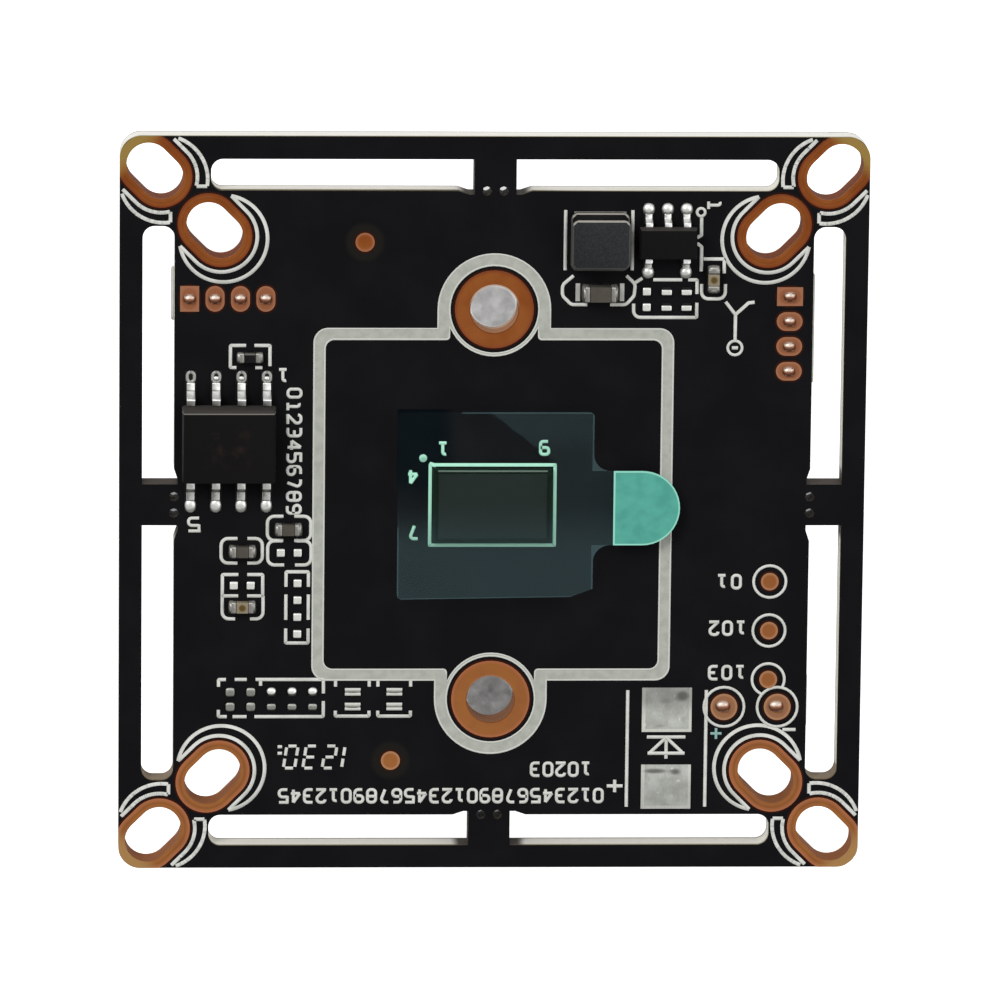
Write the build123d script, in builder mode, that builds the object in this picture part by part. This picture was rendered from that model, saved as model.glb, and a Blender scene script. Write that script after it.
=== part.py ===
import os

from build123d import *

# Camera circuit board, sensor side up, in millimetres.
# Origin: under the middle of the board, on the surface that the three sockets stand on.

# Board and its break-off frame
board_side = 37.5
board_thickness = 1.6
board_corner_radius = 1.1
inner_side = 32.0
gap_width = 1.6
gap_reach = 14.2
gap_corner_radius = 0.6
tab_width = 2.1
nick_length = 0.8
nick_depth = 0.18
bite_radius = 0.24
bite_offset = 0.42
bite_facets = 8

# Slotted holes in the corners, one set for the inner board and one for the frame
inner_slot_inset = 2.0
outer_slot_inset = 1.75
slot_width = 2.2
slot_length = 3.1
slot_land = 0.45

# Lens-holder holes and the printed outline of the holder
lens_hole_pitch = 20.0
lens_hole_radius = 1.2
lens_hole_land = 0.78
band_side = 18.1
band_width = 0.62
band_corner_radius = 0.75
lobe_radius = 2.85
ring_radius = 2.2
ring_width = 0.2
foot_radius = 0.2

# Copper, printed ink and the clearance round the pins
copper = 0.05
print_depth = 0.03
print_line = 0.14
pin_clearance = 0.04

# Sockets on the back and their pins
socket_height = 4.3
socket_depth = 2.2
pin_size = 0.4
pin_stand = 0.15
cavity_size = 0.75
cavity_depth = 2.4
signal_pitch = 1.27
power_pitch = 2.7
first_signal_x = -15.25
left_row_y = 10.52
right_row_x = 14.83
first_right_y = 10.67
power_centre = (13.18, -10.42)
signal_pad_width = 0.95
signal_pad_length = 1.3
power_pad_radius = 0.68

# Bare copper marks
test_pad_radius = 0.45
test_pad_x = 14.05
test_pad_y = -6.47
test_pad_pitch = 2.53
fiducial_radius = 0.48
fiducials = [(-6.5, 13.4), (-5.02, -13.18)]

# Tinned pads with no part on them, and how far things beside the printed band keep from it
band_clearance_left = 0.5
band_clearance_below = 0.37
second_column_distance = 3.5
small_pad = 0.44
pair_pitch = 0.85
near_pair_y = -2.45
far_pair_y = -4.13
stack_count = 4
stack_pitch = 0.87
stack_y = -5.32
left_block_x_count = 5
left_block_y_count = 2
left_block_pitch = (1.04, 0.76)
left_block_x = -11.05
right_block_x_count = 3
right_block_y_count = 2
right_block_pitch = (1.0, 0.8)
right_block_x = 8.63
right_block_share = 0.55
wide_pad = (0.85, 0.38)
wide_pad_pitch = (2.1, 0.76)
wide_pad_x = -5.9
diode_pad_width = 2.52
diode_pad_gap = 1.7
diode_edge_margin = 0.3
diode_x = 8.94

# Image sensor, its film and the pull tab
sensor_width = 6.0
sensor_height = 3.8
sensor_die = 0.35
sensor_glass_depth = 0.4
sensor_glass_inset = 0.12
outline_width = 6.42
outline_height = 4.26
film_thickness = 0.05
film_left = -4.8
film_right = 5.05
film_top = 4.9
film_bottom = -4.7
film_corner_radius = 0.25
film_cut = 0.55
film_cut_rise = 0.14
film_neck_radius = 0.85
tab_half_height = 1.9
tab_paper_start = 6.05
tab_reach = 9.4
tab_paper = 0.08

# Memory chip: eight gull-wing leads, each with its width, thickness and length of foot
memory_centre = (-13.27, 3.27)
memory_length = 4.7
memory_depth = 3.9
memory_height = 1.45
memory_pitch = 1.27
memory_span = 6.0
memory_lead = (0.42, 0.2, 0.55)
memory_pad = (0.6, 1.5)
memory_pad_span = 7.2
chip_standoff = 0.1
chip_draft = 7

# Small five-lead chips: voltage converter on the front, regulator on the back
regulator_length = 2.9
regulator_depth = 1.6
regulator_height = 1.1
regulator_pitch = 0.95
regulator_span = 2.8
regulator_lead = (0.36, 0.14, 0.3)
regulator_pad = (0.52, 0.9)
regulator_pad_span = 3.55
converter_centre = (8.63, 13.5)
regulator_centre = (9.6, 1.0)

# Power inductor: ferrite drum with two flanges, winding, end terminals
inductor_centre = (5.25, 13.5)
inductor_side = 2.95
inductor_flange = 0.35
inductor_height = 1.25
inductor_top_depth = 2.5
inductor_corner = 0.22
inductor_post = 1.3
winding_radius = 1.15
terminal_width = 2.6
terminal_reach = 0.55
terminal_depth = 0.08

# Chip capacitors and the resistor: length, depth, height, and their places: x, y, turn in degrees.
# Those left of the printed band have only their y here.
small_chip = (1.15, 0.6, 0.5)
large_chip = (1.6, 0.82, 0.8)
flat_chip = (1.1, 0.52, 0.35)
near_capacitor_y = -1.22
far_capacitor_y = -2.35
tan_capacitor_y = -5.2
upright_capacitor = (10.97, 11.58, 90)
large_capacitors = [(5.28, 10.88, 0)]
resistors = [(-12.22, 7.55, 0)]
chip_end = 0.28
chip_waist = 0.02
chip_pad_margin = 0.12
large_pad_margin = 0.42
chip_pad_side_margin = 0.04

# Processor, crystal and decoupling on the back
processor_side = 7.0
processor_height = 0.85
processor_centre = (-1.0, 0.5)
crystal_size = (3.2, 2.5)
crystal_base = 0.35
crystal_can = 0.4
crystal_can_inset = 0.15
crystal_centre = (-7.6, 3.2)
back_capacitors = [
    (-1.0, 6.0, 0),
    (2.2, 6.0, 0),
    (-3.6, -5.2, 0),
    (0.0, -5.2, 0),
    (5.2, 2.4, 90),
    (5.2, -1.6, 90),
    (9.6, 4.2, 0),
    (9.6, -2.4, 0),
]

# Levels, worked out from the sizes above
board_bottom = socket_height
board_top = board_bottom + board_thickness
copper_top = board_top + copper
copper_back = board_bottom - copper
glass_top = board_top + sensor_die + sensor_glass_depth

# Places worked out from the sizes above
pin_hole = pin_size + 2 * pin_clearance
inner_slot_radius = (inner_side / 2 - inner_slot_inset) * 2**0.5
outer_slot_radius = (board_side / 2 - outer_slot_inset) * 2**0.5
lens_holes = [(0, lens_hole_pitch / 2), (0, -lens_hole_pitch / 2)]
left_pins = [(first_signal_x + i * signal_pitch, left_row_y) for i in range(4)]
right_pins = [(right_row_x, first_right_y - i * signal_pitch) for i in range(4)]
power_pins = [(power_centre[0] + side * power_pitch / 2, power_centre[1]) for side in (-1, 1)]
all_pins = left_pins + right_pins + power_pins
test_pads = [(test_pad_x, test_pad_y + i * test_pad_pitch) for i in (-1, 0, 1)]

# Left of the printed band, in two columns
band_edge = band_side / 2
left_limit = -band_edge - band_clearance_left
pad_pair_x = left_limit - (pair_pitch + small_pad) / 2
stack_x = left_limit - small_pad / 2
near_capacitor_x = left_limit - (small_chip[0] + 2 * chip_pad_margin) / 2
second_column_x = -band_edge - second_column_distance
grey_capacitors = [(near_capacitor_x, near_capacitor_y, 0), (second_column_x, far_capacitor_y, 0)]
tan_capacitors = [(second_column_x, tan_capacitor_y, 0), upright_capacitor]

# Above the printed band: a block of pads part of the way up to the converter's own pads
converter_pad_end = converter_centre[1] - regulator_pad_span / 2
right_block_y = band_edge + right_block_share * (converter_pad_end - band_edge)

# Below the printed band; the diode's two pads share the room down to the inner board's edge
lower_limit = -band_edge - band_clearance_below
left_block_y = lower_limit - (left_block_pitch[1] + small_pad) / 2
wide_pad_y = lower_limit - (wide_pad_pitch[1] + wide_pad[1]) / 2
diode_end = -inner_side / 2 + diode_edge_margin
diode_pad_length = (lower_limit - diode_end - diode_pad_gap) / 2
diode_y = (lower_limit + diode_end) / 2

os.makedirs("parts", exist_ok=True)

# How near a corner of a sketch is to the place it is looked for at
near = 0.01


def save(piece, name):
    """Label a finished piece and write it as one file."""
    piece.label = name
    export_step(piece, f"parts/{name}.step")


# Board: laminate with the gaps milled round the inner board, its tabs, nicks and holes.
# One side has two gaps and two perforations in the tab between them, drawn at +Y and turned.
gap_inner = inner_side / 2
gap_outer = gap_inner + gap_width
gap_start = tab_width / 2
with BuildSketch() as side_gaps:
    Polygon(
        (gap_start, gap_outer),
        (gap_start, gap_inner - nick_depth),
        (gap_start + nick_length / 3, gap_inner - nick_depth),
        (gap_start + nick_length, gap_inner),
        (gap_reach, gap_inner),
        (gap_reach, gap_outer),
        align=None,
    )
    fillet(side_gaps.vertices().group_by(Axis.X)[-1], gap_corner_radius)
    with Locations((bite_offset, gap_inner)):
        RegularPolygon(bite_radius, bite_facets)
    mirror(about=Plane.YZ)

with BuildPart() as board:
    with BuildSketch(Plane.XY.offset(board_bottom)):
        RectangleRounded(board_side, board_side, board_corner_radius)
        for quarter in range(4):
            add(side_gaps.sketch, rotation=90 * quarter, mode=Mode.SUBTRACT)
        for slot_radius in (inner_slot_radius, outer_slot_radius):
            with PolarLocations(slot_radius, 4, start_angle=45):
                SlotOverall(slot_length, slot_width, mode=Mode.SUBTRACT)
        with Locations(*lens_holes):
            Circle(lens_hole_radius + copper, mode=Mode.SUBTRACT)
        with Locations(*all_pins):
            Rectangle(pin_hole, pin_hole, mode=Mode.SUBTRACT)
    extrude(amount=board_thickness)
save(board.part, "board")

# Copper lands round the corner slots, cut off where they meet the edge of the frame
with BuildPart() as corner_slot_lands:
    with BuildSketch(Plane.XY.offset(board_top)):
        for slot_radius in (inner_slot_radius, outer_slot_radius):
            with PolarLocations(slot_radius, 4, start_angle=45):
                SlotOverall(slot_length + 2 * slot_land, slot_width + 2 * slot_land)
        for slot_radius in (inner_slot_radius, outer_slot_radius):
            with PolarLocations(slot_radius, 4, start_angle=45):
                SlotOverall(slot_length, slot_width, mode=Mode.SUBTRACT)
        RectangleRounded(board_side, board_side, board_corner_radius, mode=Mode.INTERSECT)
    extrude(amount=copper)
save(corner_slot_lands.part, "corner_slot_lands")

# Plated lens-holder holes: a land on each face joined by the plated wall
with BuildPart() as lens_hole_plating:
    with BuildSketch(Plane.XY.offset(copper_back)):
        with Locations(*lens_holes):
            Circle(lens_hole_radius + lens_hole_land)
    extrude(amount=board_thickness + 2 * copper)
    with BuildSketch(Plane.XY.offset(board_bottom)):
        with Locations(*lens_holes):
            Circle(lens_hole_radius + lens_hole_land)
            Circle(lens_hole_radius + copper, mode=Mode.SUBTRACT)
    extrude(amount=board_thickness, mode=Mode.SUBTRACT)
    with BuildSketch(Plane.XY.offset(copper_back)):
        with Locations(*lens_holes):
            Circle(lens_hole_radius)
    extrude(amount=board_thickness + 2 * copper, mode=Mode.SUBTRACT)
save(lens_hole_plating.part, "lens_hole_plating")

# Through-hole pads: pin 1 of each signal row is square, the others are oval, the power pads round
with BuildPart() as socket_pads:
    with BuildSketch(Plane.XY.offset(board_top)):
        with Locations(left_pins[0]):
            Rectangle(signal_pad_width, signal_pad_length)
        with Locations(*left_pins[1:]):
            SlotOverall(signal_pad_length, signal_pad_width, rotation=90)
        with Locations(right_pins[0]):
            Rectangle(signal_pad_length, signal_pad_width)
        with Locations(*right_pins[1:]):
            SlotOverall(signal_pad_length, signal_pad_width)
        with Locations(*power_pins):
            Circle(power_pad_radius)
        with Locations(*all_pins):
            Rectangle(pin_size, pin_size, mode=Mode.SUBTRACT)
    extrude(amount=copper)
save(socket_pads.part, "socket_pads")

# Bare copper: probe points in a column, and the two fiducial dots
with BuildPart() as probe_pads:
    with BuildSketch(Plane.XY.offset(board_top)):
        with Locations(*test_pads):
            Circle(test_pad_radius)
    extrude(amount=copper)
save(probe_pads.part, "probe_pads")

with BuildPart() as fiducial_dots:
    with BuildSketch(Plane.XY.offset(board_top)):
        with Locations(*fiducials):
            Circle(fiducial_radius)
    extrude(amount=copper)
save(fiducial_dots.part, "fiducial_dots")

# Two large tinned pads for a power diode that isn't fitted
with BuildPart() as diode_pads:
    with BuildSketch(Plane.XY.offset(board_top)):
        with Locations((diode_x, diode_y)):
            with GridLocations(0, diode_pad_length + diode_pad_gap, 1, 2):
                Rectangle(diode_pad_width, diode_pad_length)
    extrude(amount=copper)
save(diode_pads.part, "diode_pads")

# Smaller tinned pads whose parts aren't fitted
with BuildPart() as spare_pads:
    with BuildSketch(Plane.XY.offset(board_top)):
        with Locations((pad_pair_x, near_pair_y), (second_column_x, far_pair_y)):
            with GridLocations(pair_pitch, 0, 2, 1):
                Rectangle(small_pad, small_pad)
        with Locations((stack_x, stack_y)):
            with GridLocations(0, stack_pitch, 1, stack_count):
                Rectangle(small_pad, small_pad)
        with Locations((left_block_x, left_block_y)):
            with GridLocations(*left_block_pitch, left_block_x_count, left_block_y_count):
                Rectangle(small_pad, small_pad)
        with Locations((right_block_x, right_block_y)):
            with GridLocations(*right_block_pitch, right_block_x_count, right_block_y_count):
                Rectangle(small_pad, small_pad)
        with Locations((wide_pad_x, wide_pad_y)):
            with GridLocations(*wide_pad_pitch, 2, 2):
                Rectangle(*wide_pad)
    extrude(amount=copper)
save(spare_pads.part, "spare_pads")

# Printed outline of the lens holder: a square band with a lobe round each hole
with BuildPart() as holder_outline:
    with BuildSketch(Plane.XY.offset(board_top)) as band:
        RectangleRounded(band_side, band_side, band_corner_radius)
        Rectangle(2 * lobe_radius, lens_hole_pitch)
        with Locations(*lens_holes):
            Circle(lobe_radius)
        inside = band_side - 2 * band_width
        RectangleRounded(inside, inside, band_corner_radius - band_width / 2, mode=Mode.SUBTRACT)
        Rectangle(2 * ring_radius, lens_hole_pitch, mode=Mode.SUBTRACT)
        feet = band.vertices().filter_by(
            lambda v: abs(abs(v.X) - ring_radius) < near and abs(abs(v.Y) - inside / 2) < near
        )
        fillet(feet, foot_radius)
        with Locations(*lens_holes):
            Circle(ring_radius + ring_width)
            Circle(ring_radius, mode=Mode.SUBTRACT)
    extrude(amount=print_depth)
save(holder_outline.part, "holder_outline")

# Printed rectangle round the sensor
with BuildPart() as sensor_outline:
    with BuildSketch(Plane.XY.offset(board_top)):
        Rectangle(outline_width, outline_height)
        Rectangle(outline_width - 2 * print_line, outline_height - 2 * print_line, mode=Mode.SUBTRACT)
    extrude(amount=print_depth)
save(sensor_outline.part, "sensor_outline")

# Image sensor: silicon package and the cover glass bonded on it
with BuildPart() as sensor_package:
    with BuildSketch(Plane.XY.offset(board_top)):
        Rectangle(sensor_width, sensor_height)
    extrude(amount=sensor_die)
save(sensor_package.part, "sensor_package")

with BuildPart() as sensor_glass:
    with BuildSketch(Plane.XY.offset(board_top + sensor_die)):
        Rectangle(sensor_width - 2 * sensor_glass_inset, sensor_height - 2 * sensor_glass_inset)
    extrude(amount=sensor_glass_depth)
save(sensor_glass.part, "sensor_glass")

# Protective film: a square sheet with a neck on the right and one corner cut on the slant
with BuildPart() as protective_film:
    with BuildSketch(Plane.XY.offset(glass_top)) as sheet:
        with BuildLine():
            Polyline(
                (film_left, film_top),
                (film_right, film_top),
                (film_right, tab_half_height),
                (tab_paper_start, tab_half_height),
                (tab_paper_start, -tab_half_height),
                (film_right, -tab_half_height),
                (film_right, film_bottom + film_cut),
                (film_right - 2 * film_cut, film_bottom + film_cut_rise),
                (film_left, film_bottom),
                close=True,
            )
        make_face()
        neck = sheet.vertices().filter_by(
            lambda v: abs(v.X - film_right) < near and abs(abs(v.Y) - tab_half_height) < near
        )
        fillet(neck, film_neck_radius)
        corners = sheet.vertices().filter_by(
            lambda v: v.Y > film_top - near or v.Y < film_bottom + near
        )
        fillet(corners, film_corner_radius)
    extrude(amount=film_thickness)
save(protective_film.part, "protective_film")

# Pull tab: a thicker opaque piece with a round end, joined to the neck of the film
with BuildPart() as pull_tab:
    with BuildSketch(Plane.XY.offset(glass_top)):
        with BuildLine():
            Polyline(
                (tab_reach - tab_half_height, -tab_half_height),
                (tab_paper_start, -tab_half_height),
                (tab_paper_start, tab_half_height),
                (tab_reach - tab_half_height, tab_half_height),
            )
            ThreePointArc(
                (tab_reach - tab_half_height, tab_half_height),
                (tab_reach, 0),
                (tab_reach - tab_half_height, -tab_half_height),
            )
        make_face()
    extrude(amount=tab_paper)
save(pull_tab.part, "pull_tab")


def gull_lead(half_body, half_span, parting_level, size):
    """One bent lead that leaves a chip towards +Y and stands on z = 0."""
    width, thickness, foot = size
    knee = (half_body + half_span - foot) / 2
    with BuildPart() as lead:
        with BuildSketch(Plane.YZ):
            Polygon(
                (half_body, parting_level - thickness / 2),
                (knee - thickness / 2, parting_level - thickness / 2),
                (half_span - foot, 0),
                (half_span, 0),
                (half_span, thickness),
                (half_span - foot + thickness / 2, thickness),
                (knee + thickness / 2, parting_level + thickness / 2),
                (half_body, parting_level + thickness / 2),
                align=None,
            )
        extrude(amount=width / 2, both=True)
    return lead.part


def chip_body(length, depth, height):
    """Moulded chip body standing on z = 0, with drafted sides that meet at its parting line."""
    with BuildPart() as body:
        for direction in (1, -1):
            with BuildSketch(Plane.XY.offset(height / 2)):
                Rectangle(length, depth)
            extrude(amount=direction * height / 2, taper=chip_draft)
    return body.part


# Memory chip, its eight leads and the tinned pads they stand on
memory_level = copper_top + chip_standoff
memory_parting = chip_standoff + memory_height / 2
memory_form = gull_lead(memory_depth / 2, memory_span / 2, memory_parting, memory_lead)
with BuildPart() as memory_chip:
    with Locations((*memory_centre, memory_level)):
        add(chip_body(memory_length, memory_depth, memory_height))
save(memory_chip.part, "memory_chip")

memory_columns = [(i - 1.5) * memory_pitch for i in range(4)]
with BuildPart() as memory_leads:
    for column in memory_columns:
        place = (memory_centre[0] + column, memory_centre[1], copper_top)
        with Locations(Location(place), Location(place, (0, 0, 180))):
            add(memory_form)
save(memory_leads.part, "memory_leads")

# Voltage converter on the front, with three leads on one side and two on the other
five_lead_places = [(i * regulator_pitch, 0) for i in (-1, 0, 1)]
five_lead_places += [(i * regulator_pitch, 180) for i in (-1, 1)]
regulator_parting = chip_standoff + regulator_height / 2
regulator_form = gull_lead(regulator_depth / 2, regulator_span / 2, regulator_parting, regulator_lead)
with BuildPart() as converter_chip:
    with Locations((*converter_centre, copper_top + chip_standoff)):
        add(chip_body(regulator_length, regulator_depth, regulator_height))
save(converter_chip.part, "converter_chip")

with BuildPart() as converter_leads:
    for column, turn in five_lead_places:
        place = (converter_centre[0] + column, converter_centre[1], copper_top)
        with Locations(Location(place, (0, 0, turn))):
            add(regulator_form)
save(converter_leads.part, "converter_leads")

# Inductor: a ferrite drum with cut corners, wound round its post, on two soldered terminals
drum_base = copper_top + terminal_depth
drum_top = drum_base + inductor_height
with BuildPart() as inductor_drum:
    for level, depth, rise in (
        (drum_base, inductor_side, inductor_flange),
        (drum_top, inductor_top_depth, -inductor_flange),
    ):
        with BuildSketch(Plane.XY.offset(level)) as flange:
            with Locations(inductor_centre):
                Rectangle(inductor_side, depth)
            chamfer(flange.vertices(), inductor_corner)
        extrude(amount=rise)
    with BuildSketch(Plane.XY.offset(drum_base)):
        with Locations(inductor_centre):
            Rectangle(inductor_post, inductor_post)
    extrude(amount=inductor_height)
save(inductor_drum.part, "inductor_drum")

with BuildPart() as inductor_winding:
    with BuildSketch(Plane.XY.offset(drum_base + inductor_flange)):
        with Locations(inductor_centre):
            Circle(winding_radius)
            Rectangle(inductor_post, inductor_post, mode=Mode.SUBTRACT)
    extrude(amount=inductor_height - 2 * inductor_flange)
save(inductor_winding.part, "inductor_winding")

with BuildPart() as inductor_terminals:
    with BuildSketch(Plane.XY.offset(copper_top)):
        with Locations(inductor_centre):
            with GridLocations(0, inductor_side - terminal_reach, 1, 2):
                Rectangle(terminal_width, terminal_reach)
    extrude(amount=terminal_depth)
save(inductor_terminals.part, "inductor_terminals")


def chip_ends(size, places, level, side):
    """End caps of chip parts: two blocks for each place, standing on level towards side (1 or -1)."""
    length, depth, height = size
    for x, y, turn in places:
        for end in (-1, 1):
            with Locations(Location((x, y, level), (0, 0, turn))):
                with Locations((end * (length - chip_end) / 2, 0, side * height / 2)):
                    Box(chip_end, depth, height)


def chip_middles(size, places, level, side):
    """Bodies of chip parts, between their end caps and a little slimmer."""
    length, depth, height = size
    for x, y, turn in places:
        with Locations(Location((x, y, level), (0, 0, turn))):
            with Locations((0, 0, side * height / 2)):
                Box(length - 2 * chip_end, depth - 2 * chip_waist, height - 2 * chip_waist)


# Ceramic capacitors and the resistor on the front
with BuildPart() as capacitor_bodies:
    chip_middles(small_chip, grey_capacitors, copper_top, 1)
    chip_middles(large_chip, large_capacitors, copper_top, 1)
save(capacitor_bodies.part, "capacitor_bodies")

with BuildPart() as tan_capacitor_bodies:
    chip_middles(small_chip, tan_capacitors, copper_top, 1)
save(tan_capacitor_bodies.part, "tan_capacitor_bodies")

with BuildPart() as capacitor_ends:
    chip_ends(small_chip, grey_capacitors + tan_capacitors, copper_top, 1)
    chip_ends(large_chip, large_capacitors, copper_top, 1)
save(capacitor_ends.part, "capacitor_ends")

with BuildPart() as resistor_body:
    chip_middles(flat_chip, resistors, copper_top, 1)
save(resistor_body.part, "resistor_body")

with BuildPart() as resistor_ends:
    chip_ends(flat_chip, resistors, copper_top, 1)
save(resistor_ends.part, "resistor_ends")


# Tinned pads under the fitted parts
def chip_pads(size, places, margin):
    """Two pads for each chip part, a little larger than its end caps."""
    length, depth, height = size
    for x, y, turn in places:
        with Locations(Location((x, y), turn)):
            with GridLocations(length - chip_end, 0, 2, 1):
                Rectangle(chip_end + 2 * margin, depth + 2 * chip_pad_side_margin)


with BuildPart() as part_pads:
    with BuildSketch(Plane.XY.offset(board_top)):
        with Locations(memory_centre):
            with GridLocations(memory_pitch, memory_pad_span - memory_pad[1], 4, 2):
                Rectangle(*memory_pad)
        for column, turn in five_lead_places:
            offset_y = (regulator_pad_span - regulator_pad[1]) / 2
            offset_y = offset_y if turn == 0 else -offset_y
            with Locations((converter_centre[0] + column, converter_centre[1] + offset_y)):
                Rectangle(*regulator_pad)
        with Locations(inductor_centre):
            with GridLocations(0, inductor_side - terminal_reach, 1, 2):
                Rectangle(terminal_width, terminal_reach)
        chip_pads(small_chip, grey_capacitors + tan_capacitors, chip_pad_margin)
        chip_pads(large_chip, large_capacitors, large_pad_margin)
        chip_pads(flat_chip, resistors, chip_pad_margin)
    extrude(amount=copper)
save(part_pads.part, "part_pads")


# Sockets on the back: a block with one square cavity for each pin, open at the bottom
def socket(pins, pitch, along_x):
    """Housing centred on its row of pins, from the floor to the back of the board."""
    count = len(pins)
    middle_x = sum(x for x, y in pins) / count
    middle_y = sum(y for x, y in pins) / count
    length = count * pitch
    size = (length, socket_depth) if along_x else (socket_depth, length)
    with BuildPart() as housing:
        with BuildSketch(Plane.XY):
            with Locations((middle_x, middle_y)):
                Rectangle(*size)
            with Locations(*pins):
                Rectangle(pin_size, pin_size, mode=Mode.SUBTRACT)
        extrude(amount=socket_height)
        with BuildSketch(Plane.XY):
            with Locations(*pins):
                Rectangle(cavity_size, cavity_size)
        extrude(amount=cavity_depth, mode=Mode.SUBTRACT)
    return housing.part


def socket_contacts(pins):
    """Square pins from inside the cavities, through the board, to just above its pads."""
    with BuildPart() as contacts:
        with BuildSketch(Plane.XY.offset(cavity_depth / 2)):
            with Locations(*pins):
                Rectangle(pin_size, pin_size)
        extrude(amount=copper_top + pin_stand - cavity_depth / 2)
    return contacts.part


sockets = [
    ("left", left_pins, signal_pitch, True),
    ("right", right_pins, signal_pitch, False),
    ("power", power_pins, power_pitch, True),
]
for side_name, pins, pitch, along_x in sockets:
    save(socket(pins, pitch, along_x), f"{side_name}_socket")
    save(socket_contacts(pins), f"{side_name}_socket_pins")

# Processor on the back, a flat moulded package
with BuildPart() as processor:
    with BuildSketch(Plane.XY.offset(board_bottom)):
        with Locations(processor_centre):
            Rectangle(processor_side, processor_side)
    extrude(amount=-processor_height)
save(processor.part, "processor")

# Crystal: ceramic base and a metal can with cut corners
with BuildPart() as crystal_base_plate:
    with BuildSketch(Plane.XY.offset(board_bottom)):
        with Locations(crystal_centre):
            Rectangle(*crystal_size)
    extrude(amount=-crystal_base)
save(crystal_base_plate.part, "crystal_base")

with BuildPart() as crystal_cover:
    with BuildSketch(Plane.XY.offset(board_bottom - crystal_base)) as cover:
        with Locations(crystal_centre):
            Rectangle(crystal_size[0] - 2 * crystal_can_inset, crystal_size[1] - 2 * crystal_can_inset)
        chamfer(cover.vertices(), 2 * crystal_can_inset)
    extrude(amount=-crystal_can)
save(crystal_cover.part, "crystal_can")

# Linear regulator on the back, the same five-lead shape turned over
with BuildPart() as regulator_chip:
    with Locations(Location((*regulator_centre, board_bottom - chip_standoff), (180, 0, 0))):
        add(chip_body(regulator_length, regulator_depth, regulator_height))
save(regulator_chip.part, "regulator_chip")

with BuildPart() as regulator_leads:
    for column, turn in five_lead_places:
        place = (regulator_centre[0] + column, regulator_centre[1], board_bottom)
        with Locations(Location(place, (180, 0, turn))):
            add(regulator_form)
save(regulator_leads.part, "regulator_leads")

# Decoupling capacitors round the processor and regulator
with BuildPart() as back_capacitor_bodies:
    chip_middles(small_chip, back_capacitors, board_bottom, -1)
save(back_capacitor_bodies.part, "back_capacitor_bodies")

with BuildPart() as back_capacitor_ends:
    chip_ends(small_chip, back_capacitors, board_bottom, -1)
save(back_capacitor_ends.part, "back_capacitor_ends")
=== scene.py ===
import math

import bmesh
import bpy
from mathutils import Matrix, Vector


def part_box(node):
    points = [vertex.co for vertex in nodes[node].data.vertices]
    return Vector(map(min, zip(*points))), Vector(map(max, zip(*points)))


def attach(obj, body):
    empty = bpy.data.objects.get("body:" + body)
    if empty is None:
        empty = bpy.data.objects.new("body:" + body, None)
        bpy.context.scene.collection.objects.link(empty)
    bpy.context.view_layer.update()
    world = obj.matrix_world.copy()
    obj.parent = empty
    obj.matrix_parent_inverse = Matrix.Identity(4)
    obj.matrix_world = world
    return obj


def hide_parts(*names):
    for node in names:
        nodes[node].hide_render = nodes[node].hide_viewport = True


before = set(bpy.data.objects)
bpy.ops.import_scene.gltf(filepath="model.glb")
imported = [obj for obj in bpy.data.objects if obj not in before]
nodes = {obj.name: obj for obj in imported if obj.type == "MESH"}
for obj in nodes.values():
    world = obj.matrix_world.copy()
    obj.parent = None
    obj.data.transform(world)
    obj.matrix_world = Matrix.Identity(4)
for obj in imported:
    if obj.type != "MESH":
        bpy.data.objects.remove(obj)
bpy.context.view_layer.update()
scene = bpy.context.scene
MM = 0.001

# View
# The photograph looks down on the board from almost half a metre, from a little past its upper
# side and a little to the left, with a long lens.
scene.view_settings.view_transform = "Standard"
film_width = 36.0
photo_width = 1000.0
focal_pixels = 9395.0
camera_place = Vector((-23.93, 95.76, 467.73)) * MM
camera_target = Vector((0.385, 0.253, 5.9)) * MM
camera_roll = math.radians(0.618)
lens = bpy.data.cameras.new("Camera")
lens.sensor_width = film_width
lens.lens = film_width * focal_pixels / photo_width
lens.clip_start = 0.01
camera = bpy.data.objects.new("Camera", lens)
scene.collection.objects.link(camera)
look = (camera_target - camera_place).normalized()
right = look.cross(Vector((0, 1, 0))).normalized()
up = right.cross(look)
axes = Matrix((right, up, -look)).transposed() @ Matrix.Rotation(camera_roll, 3, "Z")
camera.matrix_world = Matrix.Translation(camera_place) @ axes.to_4x4()
scene.camera = camera


# Board
# One piece of glass-filled laminate under a thin black solder mask. Its gaps, slots and holes are
# milled and drilled, so their walls show the bare laminate, and the slots are plated.
class Signal:
    """An output of a node, on which Python's operators add Math nodes."""

    def __init__(self, wiring, socket):
        self.wiring = wiring
        self.socket = socket

    def math(self, operation, first, second=0.0):
        return self.wiring.math(operation, first, second)

    def __add__(self, other):
        return self.math("ADD", self, other)

    __radd__ = __add__

    def __sub__(self, other):
        return self.math("SUBTRACT", self, other)

    def __rsub__(self, other):
        return self.math("SUBTRACT", other, self)

    def __mul__(self, other):
        return self.math("MULTIPLY", self, other)

    __rmul__ = __mul__

    def __lt__(self, other):
        return self.math("LESS_THAN", self, other)

    def __gt__(self, other):
        return self.math("GREATER_THAN", self, other)

    def __abs__(self):
        return self.math("ABSOLUTE", self)

    def between(self, low, high):
        """1 above low and below high, and 0 elsewhere."""
        return (self > low) * (self < high)

    def over(self, low, high):
        """0 below low, 1 above high, and a smooth rise between."""
        sockets = {"Value": self, "From Min": low, "From Max": high}
        settings = {"interpolation_type": "SMOOTHSTEP"}
        return self.wiring.node("ShaderNodeMapRange", settings, sockets)


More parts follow.
